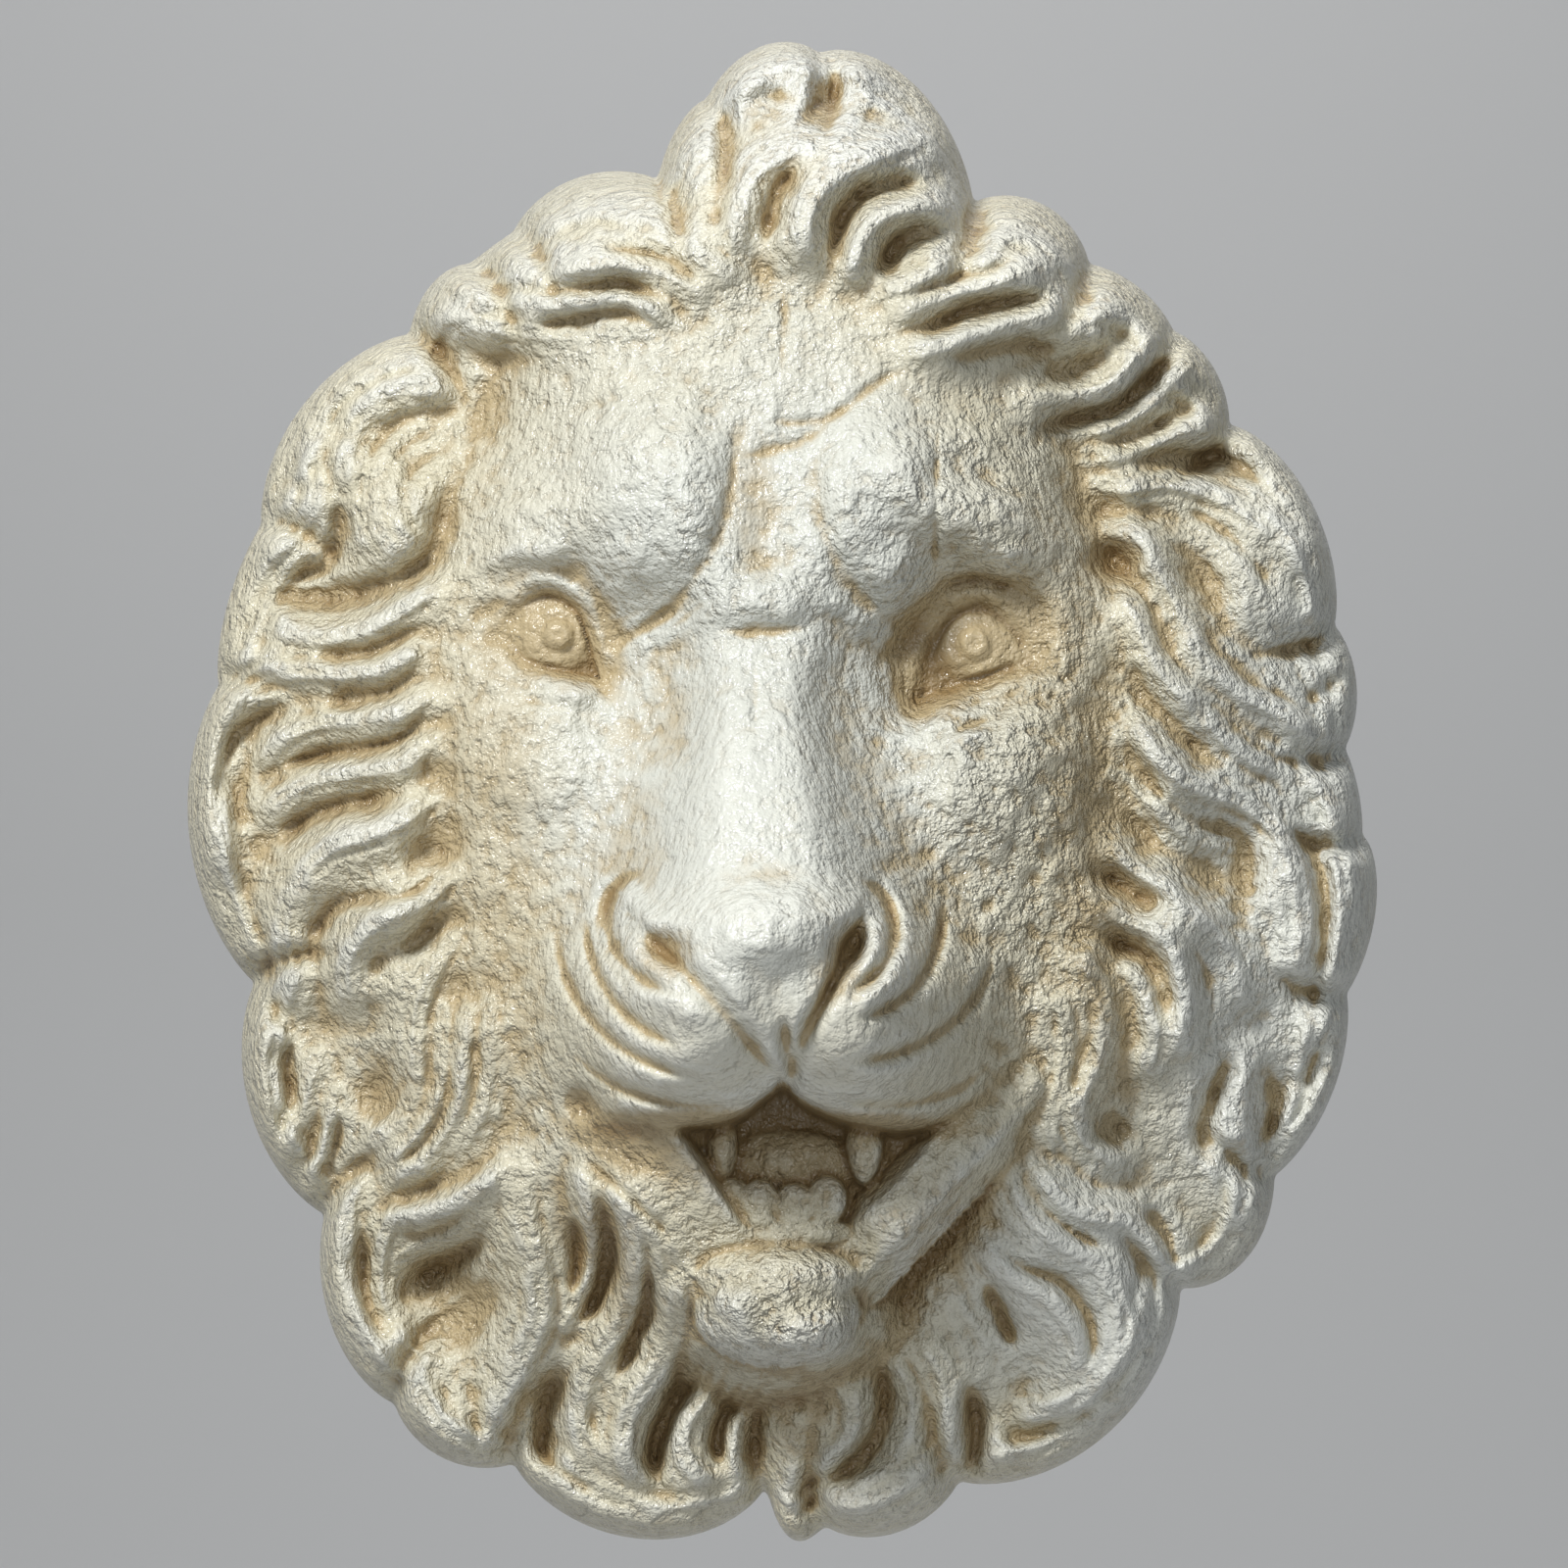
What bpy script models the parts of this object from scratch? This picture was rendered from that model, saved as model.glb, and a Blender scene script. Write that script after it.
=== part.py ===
"""Lion head wall plaque, one solid casting with a flat back.

The casting hangs on a wall at y = 0 and looks along -Y; +Z is up and +X is to the viewer's right.
Its carving is set out in carving units on the wall plane, 428 to the plaque's height, and every
depth is a share of the nose's depth, so the whole relief follows the two sizes below.
"""
import bmesh
import bpy
import numpy as np

# Sizes in metres
PLAQUE_HEIGHT = 0.428      # lowest lobe of the beard to the top of the crown tuft
NOSE_DEPTH = 0.172         # wall to the tip of the nose
RIM_THICKNESS = 0.012      # plain wall round the rim before the carving rolls over
ROLL_WIDTH = 0.009         # width of that roll-over, measured in from the rim
DRAFT_DISTANCE = 1.15      # the sides lean in towards a point this far out from the wall
MOUTH_DEPTH = 0.077        # wall to the floor of the open mouth

# Shares and counts
HEIGHT_UNITS = 428.0       # carving units in the plaque's height
NOSE_UNITS = 171.6         # carving units from the wall to the nose in the forms below
# Fullness of the mane against the tables: lock width, lock rise, valley width, valley depth
MANE_FULLNESS = (1.6, 1.0, 1.05, 0.65)
NOTCH_REACH = 0.84         # where the cuts between rim lobes end, as a share of the rim's radius
NOTCH_SWING = 22.0         # degrees by which those cuts start and end off the radius
NOTCH_WIDTH = 4.0          # half width of those cuts, in carving units
NOTCH_DEPTH = 12.0         # depth of those cuts, in carving units
# Lines combed round each rim lobe: distance in from the rim at the lobe's lower and upper end,
# half width, depth.
RIM_LINES = ((4.0, 11.0, 2.0, 2.5), (9.5, 18.0, 2.2, 2.0))
GRID_RINGS = 110           # rings of the grid that carries the carving
FACETS = 9300              # triangles kept in the finished casting

UNIT = PLAQUE_HEIGHT / HEIGHT_UNITS
DEPTH_UNIT = NOSE_DEPTH / NOSE_UNITS
RIM_WALL = RIM_THICKNESS / DEPTH_UNIT
EDGE_ROLL = ROLL_WIDTH / UNIT
MOUTH_FLOOR = MOUTH_DEPTH / DEPTH_UNIT

# Rim lobes, clockwise as seen: where each begins (x, z), how far it swells past a plain arc to the
# next one's start, and its skew (+ swells late).
LOBES = (
    (-36, 174, 4, 0), (-22, 197, 8, 0), (10, 210, 12, 0), (54, 167.5, 8, 0), (87, 150, 3, 0),
    (111, 131, 4, 0), (127, 104, 7.5, -0.2), (157, 47, 4, 0), (160, 12, 1, 0), (165, -13, 4.5, -0.4),
    (160.5, -58, 4.5, 0), (140, -110, 8, 0.2), (113, -142, 13.5, 0), (50, -197, 7.5, 0),
    (12, -210, 10.5, 0.4), (-5, -198, 15.5, -0.2), (-77, -192, 7, 0), (-111, -175, 8, 0),
    (-131, -121, 8.5, 0), (-151, -55, 8, 0), (-161, 30, 2, -0.4), (-149, 76, 8, 0),
    (-107, 130, 4, 0.2), (-90, 150, 0, 0), (-77, 159.5, 7, 0),
)

# Long locks of the mane: points (x, z) on the crest from root to tip, half width, rise.
RIGHT_LOCKS = (
    (((78, 96), (92, 95.5), (104, 99), (114, 104), (125, 103), (138, 96), (148, 84), (153, 70),
      (154, 54)), 5, 10),
    (((86, 87), (98, 87), (110, 88.5), (122, 85), (134, 79), (144, 70), (149, 58)), 4.6, 10),
    (((112, 76), (122, 70), (130, 62), (136, 52)), 7, 6),
    (((89, 77), (101, 72), (109, 62), (115, 50), (119, 39), (130, 28.5), (143, 22),
      (156, 12)), 4.6, 12),
    (((96, 58), (102, 50), (105, 41), (112, 30), (121, 21), (131, 11), (145, 4)), 4.4, 10),
    (((98, 26), (101, 17), (108, 8), (119, 1), (131, -3), (141, -11), (147, -24), (149, -42),
      (146, -62)), 5, 11),
    (((136, 14), (150, 4), (158, -10), (160, -30), (158, -50), (151, -70), (143, -84)), 5, 9),
    (((97, 8), (103, -1), (111, -9), (121, -14), (131, -16)), 4, 6),
    (((92, -10), (98, -20), (109, -27), (119, -36), (127, -46), (130, -58), (131, -68)), 4.2, 12),
    (((107, -35), (116, -40), (123, -49), (126, -60), (124, -72)), 4.2, 7),
    (((89, -28), (96, -36), (105, -39.5), (111, -46), (114, -56), (115, -68), (111, -78)), 4.4, 11),
    (((95, -49), (101, -53), (104, -61), (105, -72), (102, -82)), 4, 9),
    (((83, -44), (90, -55), (92, -66), (88, -78), (84, -88), (86, -98), (94, -105),
      (101, -110)), 4.6, 10), (((79, -58), (81, -72), (79, -86), (76, -96), (80, -106)), 4, 7),
    (((134, -74), (129, -84), (128, -98), (131, -112), (133, -124)), 7, 10),
    (((159, -64), (158, -78), (152, -90), (144, -101)), 4, 9),
)
LEFT_LOCKS = (
    (((-96, 114), (-110, 115), (-120, 108), (-125, 97), (-126, 86)), 5, 12),
    (((-96, 105), (-108, 98), (-114, 88), (-113, 76), (-106, 66)), 8, 7),
    (((-118, 122), (-130, 112), (-135, 98), (-134, 84), (-140, 74), (-150, 64)), 5.5, 10),
    (((-134, 116), (-144, 102), (-149, 86)), 4, 6),
    (((-99, 59), (-109, 52), (-120, 46), (-131, 43.5), (-140, 44.5), (-146, 50)), 4.4, 11),
    (((-100, 45), (-110, 37), (-124, 33.5), (-140, 34), (-154, 30), (-163, 18), (-166, 0), (-162, -18),
      (-154, -30)), 5, 11),
    (((-100, 29), (-109, 22.5), (-121, 20.5), (-134, 19), (-144, 14), (-150, 6)), 4.4, 10),
    (((-99, 17), (-108, 8), (-120, 5.5), (-134, 3), (-144, -2), (-150, -10)), 4.2, 10),
    (((-97, 3), (-106, -6), (-118, -12), (-130, -16), (-139, -25), (-143.5, -38), (-141, -54),
      (-133, -66)), 5, 12),
    (((-94, -22), (-102, -31), (-113, -36), (-122, -42), (-126, -52), (-124, -64)), 4.4, 11),
    (((-92, -38), (-99, -50), (-104, -64), (-105, -78), (-108, -90), (-120, -103)), 4, 8),
    (((-97, -58), (-98, -76), (-101, -90), (-109, -101), (-118, -108)), 3.6, 8),
    (((-91, -60), (-92, -78), (-95, -92), (-103, -104), (-116, -113)), 3.8, 9),
    (((-84, -60), (-85, -78), (-87, -92), (-94, -104)), 4, 7),
    (((-146, -64), (-150, -78), (-148, -92), (-143, -106)), 4.4, 9),
    (((-133, -74), (-137, -86), (-141, -98), (-143, -108)), 3.8, 8),
    (((-129, -84), (-130, -98), (-134, -110)), 3.4, 7),
    (((-121, -108), (-127, -120), (-128, -136), (-123, -150), (-113, -162), (-98, -170)), 5, 10),
    (((-110, -118), (-115, -130), (-116, -144), (-111, -156), (-101, -165)), 3.8, 8),
    (((-82, -108), (-92, -117), (-102, -121), (-112, -121)), 4.6, 11),
    (((-84, -119), (-95, -128), (-106, -132), (-112, -136)), 4, 9),
    (((-84, -132), (-94, -143), (-104, -149)), 5, 7),
)
CROWN_LOCKS = (
    (((-13, 153), (-13, 165), (-9, 176), (-1, 182), (9, 184), (17, 189), (23, 197)), 4.6, 10),
    (((6, 150), (5, 162), (9, 172), (18, 178), (30, 184), (42, 187), (49, 182)), 6, 14),
    (((19, 145), (21, 156), (27, 163.5), (37, 166.5), (48, 165)), 3.8, 11),
    (((-26, 176), (-21, 186), (-14, 195), (-8, 204)), 4.6, 7), (((3, 188), (6, 198), (7, 209)), 3.4, 7),
    (((17, 189), (23, 197), (21, 207)), 3.6, 7), (((28, 192), (36, 198), (42, 192), (47, 182)), 4.5, 6),
    (((-13, 146), (-23, 152), (-33, 158), (-44, 163), (-56, 168), (-64, 170)), 5, 9),
    (((-28, 164), (-38, 170), (-50, 174), (-62, 168), (-70, 160)), 5, 6),
    (((-20, 141), (-32, 148), (-44, 151), (-57, 150), (-70, 149), (-84, 153)), 4, 9),
    (((-32, 134), (-45, 140), (-58, 139), (-72, 139), (-88, 141), (-99, 146)), 4, 8),
    (((-60, 130), (-76, 131), (-92, 134), (-103, 136)), 4, 6),
    (((27, 143), (40, 147), (52, 152), (62, 158), (73, 163)), 4.5, 9),
    (((31, 136), (45, 142), (58, 145), (70, 150), (81, 151)), 4.4, 8),
    (((34, 125), (48, 128), (60, 131), (73, 134), (87, 136), (99, 138)), 4.6, 10),
    (((68, 112), (81, 112), (92, 114), (100, 121), (108, 131)), 4.6, 11),
    (((78, 102), (92, 104), (103, 110), (112, 119), (119, 126)), 4, 9),
)
BEARD_LOCKS = (
    (((-76, -104), (-75, -120), (-71, -136), (-70, -150), (-76, -164), (-81, -174), (-77, -188)), 7, 9),
    (((-60, -106), (-56, -120), (-54.5, -133), (-58, -147), (-65, -157)), 3, 9),
    (((-50, -108), (-44, -124), (-43, -140), (-46, -152), (-54, -162), (-59, -174), (-57, -187),
      (-49, -198)), 5.5, 10), (((-41, -116), (-37, -128), (-36, -140), (-37, -150)), 3, 7),
    (((-32, -138), (-31, -152), (-36, -166), (-44, -177), (-46, -189), (-40, -199)), 5.5, 12),
    (((-19, -160), (-23, -172), (-29, -181), (-28, -191), (-20, -199)), 5, 11),
    (((-8, -168), (-14, -178), (-14, -190), (-8, -198)), 3.4, 7),
    (((-70, -194), (-54, -204), (-38, -208), (-22, -209)), 4, 5),
    (((-104, -172), (-97, -182), (-86, -188)), 6, 6),
    (((38, -154), (46, -165), (48, -178), (43, -190), (32, -199), (18, -204), (5, -203)), 5.4, 11),
    (((31, -161), (37, -172), (36, -184), (29, -194), (17, -200)), 3, 6),
    (((12, -165), (19, -173), (19, -183), (13, -191), (3, -195)), 4.4, 9),
    (((44, -140), (50, -150), (55, -160), (54, -170)), 7, 9),
    (((55, -128), (62, -137), (71, -142), (80, -149), (85, -158), (82, -168)), 5, 9),
    (((65, -106), (70, -119), (80, -129), (91, -137), (97, -148), (97, -160), (89, -171), (76, -177),
      (62, -176)), 5.4, 10),
    (((70, -102), (76, -113), (86, -120.5), (98, -123), (106, -132), (110, -144), (108, -157),
      (100, -169), (88, -181)), 4.6, 10), (((56, -186), (68, -190), (80, -186), (91, -179)), 5, 6),
)
MANE_LOCKS = RIGHT_LOCKS + LEFT_LOCKS + CROWN_LOCKS + BEARD_LOCKS
# Valleys beside them: points (x, z) on the floor, half width, depth.
RIGHT_VALLEYS = (
    (((93, 92), (110, 95), (126, 94), (138, 88)), 4.5, 4), (((88, 83), (97, 79), (108, 79)), 4, 6),
    (((92, 72), (98, 62), (104, 53), (109, 43), (114, 34)), 3.6, 6),
    (((118, 54), (123, 41), (133, 32), (146, 25), (156, 17)), 2.4, 4),
    (((148, 24), (155, 29), (161, 34)), 2.2, 5),
    (((99, 38), (103, 27), (110, 18), (119, 9), (127, 3)), 3.6, 7),
    (((97, 14), (103, 5), (110, -2)), 3, 6), (((100, -6), (105, -16), (114, -25), (124, -34)), 5, 7),
    (((140, -5), (148, -14), (153.5, -26), (153.5, -46), (151, -62)), 2.4, 8),
    (((91, -21), (99, -29), (108, -32.5)), 3, 7),
    (((87, -38), (97, -44), (106, -50), (109, -60), (109, -70)), 3.4, 10),
    (((88, -66), (86, -77), (82, -88)), 2.6, 6),
    (((131, -74), (124, -84), (119.5, -96), (121, -108)), 3, 11),
    (((138, -74), (139, -88), (138, -104), (140, -112)), 4, 13),
    (((157, -66), (151, -79), (148, -90), (143, -98)), 3, 8),
)
LEFT_VALLEYS = (
    (((-92, 109), (-105, 106), (-117, 102), (-119, 94)), 4, 6),
    (((-90, 97), (-96, 86), (-98, 73), (-106, 62), (-120, 56), (-134, 54), (-150, 55)), 4.5, 12),
    (((-136, 114), (-141, 99), (-143, 86), (-148, 79)), 2.6, 6),
    (((-128, 84), (-127, 73), (-131, 64), (-141, 60)), 3.2, 10),
    (((-103, 48), (-112, 42), (-123, 38.5), (-135, 39)), 2.6, 7),
    (((-104, 39), (-109, 31), (-119, 27), (-132, 26)), 3.4, 8),
    (((-138, 24), (-150, 20), (-158, 13), (-158, 2), (-154, -10)), 3.6, 8),
    (((-102, 24), (-108, 16), (-117, 12), (-130, 10), (-144, 7)), 2.4, 8),
    (((-104, 0), (-114, -3), (-127, -5), (-138, -10), (-146, -16)), 4, 10),
    (((-99, -23), (-106, -29), (-117, -30.5), (-127, -33), (-134, -41), (-136, -51)), 2.8, 8),
    (((-95, -33), (-105, -42), (-114, -47), (-120, -56)), 4.4, 9),
    (((-152, -32), (-149, -46), (-146, -60), (-141, -72)), 3, 6),
    (((-101, -72), (-101, -86), (-106, -96), (-114, -104)), 1.8, 5),
    (((-95, -76), (-96, -90), (-103, -101), (-113, -109)), 1.8, 6),
    (((-88, -64), (-88, -82), (-91, -97)), 2, 4),
    (((-80, -101), (-88, -108), (-99, -113), (-110, -117), (-119, -121)), 3, 11),
    (((-146, -68), (-142, -80), (-141, -90), (-145, -101)), 3, 9),
    (((-133, -90), (-134, -100), (-138, -109)), 2.2, 6),
    (((-127, -92), (-128, -102), (-132, -113)), 2.6, 8),
    (((-119, -122), (-120, -136), (-117, -148), (-108, -160)), 3.4, 10),
    (((-90, -121), (-101, -126), (-111, -127)), 1.8, 5),
    (((-84, -128), (-95, -134), (-107, -140)), 3.4, 9),
)
CROWN_VALLEYS = (
    (((-5, 156), (-2, 168), (4, 178)), 3.2, 12),
    (((15, 147), (15, 158), (19, 168), (29, 173), (43, 171)), 4, 14),
    (((29, 144), (31, 154), (38, 160), (48, 160)), 3.6, 12), (((10, 206), (9, 196), (4, 190)), 2.2, 8),
    (((16, 206), (15, 201), (14, 196)), 2.2, 7), (((-14, 180), (-18, 171), (-20, 160)), 3, 8),
    (((-21, 143), (-32, 150), (-43, 153), (-54, 155)), 2.6, 8),
    (((-34, 140), (-46, 144.5), (-58, 143.5), (-72, 142)), 2.4, 8),
    (((-34, 131), (-46, 136), (-60, 134), (-74, 131)), 2.6, 8),
    (((-70, 122), (-86, 124), (-102, 128)), 4, 6), (((34, 140), (46, 145), (58, 148), (66, 153)), 2, 6),
    (((31, 131), (42, 132), (53, 137), (66, 139.5), (79, 141)), 3, 12),
    (((45, 122), (56, 125), (68, 127), (80, 125)), 2.8, 9),
    (((72, 118), (84, 120), (95, 127), (102, 134)), 4, 7),
    (((71, 104), (84, 106), (96, 110), (104, 117), (111, 126)), 3, 10),
    (((88, 98), (101, 101), (111, 106), (120, 112)), 3, 9),
    (((40, 122), (28, 117), (12, 106), (-8, 105)), 1.6, 2.6),
    (((0, 146), (0, 132), (-1, 116)), 1.4, 1.6),
)
BEARD_VALLEYS = (
    (((-60, -120), (-58.5, -132), (-61, -145)), 2.2, 8),
    (((-54, -112), (-51, -122), (-50, -134), (-54, -145), (-62, -154)), 3.2, 16),
    (((-39, -132), (-39, -146), (-43, -157), (-48, -168)), 2.6, 12),
    (((-25, -156), (-28, -168), (-34, -179), (-37, -190), (-35, -199)), 3.6, 22),
    (((-62, -164), (-67, -173), (-69, -183), (-67, -195)), 4.4, 22),
    (((-10, -166), (-14, -174), (-18.5, -182), (-19, -194)), 2.8, 14),
    (((-90, -166), (-88, -180), (-87, -190)), 2.4, 6),
    (((22, -160), (28, -168), (28, -178), (24, -187), (16, -195), (6, -198)), 3.4, 14),
    (((53, -168), (54, -178), (54, -188), (52, -199)), 3.6, 22),
    (((57, -140), (61, -148), (66, -159)), 2.8, 12),
    (((60, -129), (68, -136), (78, -140), (86, -149), (88, -159), (84, -168)), 2.4, 9),
    (((67, -107), (72, -118), (82, -126), (94, -131)), 2, 7),
    (((104, -138), (107, -148), (104, -159), (96, -169), (84, -178)), 2.2, 9),
    (((58, -181), (70, -184), (82, -180), (92, -173)), 2.4, 7),
    (((102, -118), (109, -127), (113, -139)), 2.6, 10),
    (((58, -106), (46, -122), (34, -138), (24, -154)), 7, 24),
)
MANE_VALLEYS = RIGHT_VALLEYS + LEFT_VALLEYS + CROWN_VALLEYS + BEARD_VALLEYS
# Swellings and hollows of the mane: centre (x, z), half width, half height, turn, rise, squareness.
MANE_MASSES = (
    (12, 176, 34, 22, 0, 12, 1.3), (-2, 201, 9, 12, 0, 5, 1.6), (37, 155, 9, 8, 30, -6, 1.3),
    (-114, 86, 20, 28, -15, 14, 1.5), (-104, 96, 10, 8, 40, -7, 1.3), (-142, 88, 8, 20, 10, 2, 1.4),
    (-140, 38, 18, 16, 0, 5, 1.2), (-122, -34, 20, 30, 20, 10, 1.4), (-108, -52, 12, 14, 0, 4, 1.3),
    (-106, -90, 20, 24, -20, 8, 1.4), (-113, -87, 9, 9, 0, -9, 1.3), (-146, -82, 8, 22, -5, 6, 1.4),
    (-96, -144, 14, 13, 0, -14, 1.3), (-98, -116, 20, 10, 25, 9, 1.4), (-76, -140, 13, 34, 5, 10, 1.4),
    (-46, -160, 16, 36, 8, 8, 1.3), (-98, -182, 16, 9, -20, 4, 1.3),
    (140, 62, 17, 28, 8, 9, 1.7), (119, 57, 8, 14, 25, -5, 1.3), (120, 93, 20, 5, -8, -5, 1.4),
    (95, 66, 7, 6, 0, -8, 1.3), (122, -16, 16, 12, -30, -7, 1.3), (141, -40, 9, 28, 0, 8, 1.8),
    (108, -46, 18, 30, 15, 7, 1.3), (112, -92, 10, 34, 0, 6, 1.4), (93, -97, 6, 5, -30, -6, 1.3),
    (129, -99, 8, 22, -6, 4, 1.8), (156, -36, 7, 30, 0, 5, 1.5), (86, -144, 26, 32, 20, 18, 1.8),
    (30, -180, 22, 26, 0, 9, 1.3), (2, -181, 9, 9, 0, 5, 1.6), (90, 118, 32, 20, -35, 6, 1.2),
    (118, 104, 7, 6, 0, 4, 1.3), (-60, 146, 32, 16, 25, 5, 1.2), (-160, -8, 9, 28, 0, 5, 1.4),
    (30, -132, 14, 18, -25, -12, 1.2), (-14, -168, 12, 10, 0, -8, 1.2),
    (96, -14, 11, 56, 4, -13, 1.5), (-99, -30, 9, 60, 0, -8, 1.5), (88, 84, 9, 22, 12, -6, 1.4),
)

# The head's section at each height z: depth along the middle, depth of the sides, half width of the
# middle form, and the head's left and right limits.
HEAD_SECTIONS = (
    (190, 58, 56, 60, -36, 36), (160, 84, 78, 60, -62, 60), (140, 93, 88, 60, -74, 72),
    (120, 99, 95, 56, -82, 76), (100, 102, 98, 48, -88, 82), (80, 105, 97, 32, -95, 88),
    (60, 108, 92, 24, -101, 93), (40, 113, 87, 22, -103, 96), (20, 125, 90, 22, -103, 98),
    (0, 137, 95, 27, -101, 98), (-20, 147, 94, 33, -97, 95), (-40, 151, 90, 44, -92, 88),
    (-60, 147, 85, 55, -87, 80), (-80, 140, 80, 57, -83, 74), (-100, 113, 84, 47, -84, 74),
    (-120, 99, 88, 41, -72, 64), (-140, 86, 76, 33, -54, 48), (-165, 70, 60, 30, -32, 28),
    (-190, 50, 46, 30, -20, 18),
)
HEAD_MASSES = (
    (-38, 84, 22, 27, 14, 14, 1.7), (-47, 62, 12, 9, 30, 6, 1.3), (-72, 76, 19, 11, 8, 8, 1.5),
    (-71, 67, 18, 5, 6, 3, 1.3), (27, 82, 18, 26, -6, 12, 1.7), (33, 90, 7, 9, 0, 4, 1.3),
    (56, 88, 18, 20, 0, 6, 1.5), (33, 58, 11, 9, -20, 6, 1.3), (62, 75, 22, 11, -16, 13, 1.6),
    (64, 64, 18, 5, -10, 3, 1.3), (-7, 55, 15, 7, 0, 5, 1.6), (-69, 46, 21, 16, -8, -17, 1.6),
    (54, 41, 22, 18, 14, -26, 1.7), (-53, 33, 7, 6, -30, -4, 1.2), (-87, 46, 7, 7, 0, -5, 1.3),
    (38, 26, 8, 8, 30, -6, 1.2), (71, 37, 3.2, 2.6, 0, -6, 1.0), (-73, 12, 21, 18, 0, 8, 1.5),
    (63, 6, 23, 23, 8, 12, 1.6), (-36, -66, 27, 25, -12, 18, 1.8), (33, -66, 27, 24, 12, 18, 1.8),
    (-4, -38, 23, 12, 0, 10, 1.5), (-5, -56, 13, 20, 12, 7, 1.4), (-42, -41, 8, 9, 0, 6, 1.3),
    (28, -43, 7, 9, 0, 6, 1.3), (-34, -45, 7, 4.5, -25, -12, 1.3), (19, -44, 7, 5, 60, -14, 1.3),
    (-58, -89, 5, 4, -30, -8, 1.2), (-62, -116, 15, 22, 25, 8, 1.3), (66, -104, 12, 20, -25, 6, 1.3),
)
HEAD_RIDGES = (
    (-94, 33, 0, -50, 25, -14, 4, 5), (38, 17, 30, 82, 35, 18, 4.4, 8),
    (44, 11, 34, 74, 24, 4, 4, 3), (-86, 22, 10, -58, 18, -16, 4, 2),
    (-20, 64, 226, -58, 47, 188, 3.4, 1.5), (-16, 55, 218, -48, 38, 206, 3.4, 1.5),
    (10, 56, -35, 36, 44, -20, 4, 3), (-40, -27, 200, -50, -46, 280, 3.4, 5),
    (24, -26, -30, 36, -46, -95, 3.4, 5), (-47, -40, -95, -18, -66, -18, 4.5, 4),
    (36, -36, -80, 20, -61, 200, 4, 4), (-58, -84, -38, -5, -86, 16, 3.4, 4),
    (60, -82, 220, 6, -85, 160, 3.4, 4), (-88, 60, 70, -60, 64, -30, 3, 3),
)
HEAD_SLOTS = (
    (-14, 102, -88, -50, 41, 200, 2.6, 2.6), (-18, 72, 250, -52, 47, 198, 1.4, 0.9),
    (-13, 66, 246, -45, 40, 206, 1.4, 0.9), (10, 98, -100, 36, 44, -30, 3.4, 2.5),
    (44, 106, -92, 43, 60, -90, 1.3, 1.8), (-19, 46, -12, 8, 47, 10, 1.8, 1.8),
    (-13, 95, 12, 14, 105, 40, 1.8, 1.6), (-45, 34, -102, -52, -10, -94, 9, 1.5),
    (10, 40, -88, 20, -14, -75, 9, 3), (-40, -23, 196, -29, -58, -6, 2.6, 9),
    (20, -25, -12, 17, -58, 196, 2.6, 9), (19, -44, -108, 2, -78, -104, 2.4, 5),
    (0, -64, -86, 2, -88, -92, 2.4, 7), (-36, -45, -30, -3, -81, -60, 2.6, 5),
    (-56, -34, -96, -28, -73, -12, 1.9, 5.5), (-65, -38, -90, -22, -82, -4, 1.9, 6),
    (-63, -72, -52, -6, -88, 14, 1.8, 5), (45, -30, -82, 20, -65, 186, 2.1, 6.5),
    (60, -42, -90, 17, -78, 184, 2.2, 7), (60, -76, -124, 11, -88, 168, 1.8, 5),
    (-84, -50, -78, -78, -102, -84, 2.4, 4), (-51, -30, -120, -40, -59, -40, 1.6, 4),
    (-8, 40, -92, -8, 16, -88, 1.2, 0.8), (-60, -102, -42, -24, -136, -46, 1.6, 4),
    (-84, 34, -30, -62, 29, 0, 1.6, 2), (44, 20, 30, 70, 29, 10, 1.6, 2),
    (-90, 48, 40, -78, 54, 10, 1.5, 3.5), (-92, 40, 30, -81, 45, 20, 1.5, 3),
    (44, 57, 30, 78, 48, -50, 1.8, 4), (72, 33, 20, 86, 30, -20, 1.5, 3),
    (46, 14, 40, 66, 20, -10, 1.4, 2),
)
# Eyes: points on the upper and lower edge of the opening from left to right, then the ball's centre
# (x, z), radius and depth, and the iris's centre (x, z) and radius.
EYES = (
    (((-80, 45), (-76, 52), (-68, 56.5), (-60, 52), (-56, 42), (-52, 31)),
     ((-80, 45), (-74, 37), (-65, 34), (-52, 31)), (-65, 44, 12, 87), (-64.5, 44.3, 5.0)),
    (((38, 25), (42, 38), (48, 49), (56, 52.5), (64, 47), (71, 37)),
     ((38, 25), (47, 29), (58, 32.5), (71, 37)), (55, 41, 12, 82), (54.5, 42, 5.6)),
)
# Upper lip: points on its lower edge, and the lower lips from corner to chin.
LIP_EDGE = ((-80, -70), (-62, -86), (-48, -92.5), (-32, -94.5), (-15, -92), (-5, -85), (0, -82),
            (6, -87), (20, -93), (38, -95), (54, -88), (70, -74))
LOWER_LIPS = ((-63, -91, -46, -20, -136, -50, 7.6, 84, 93), (67, -84, 228, 19, -135, 228, 6.8, 84, 96))
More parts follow.
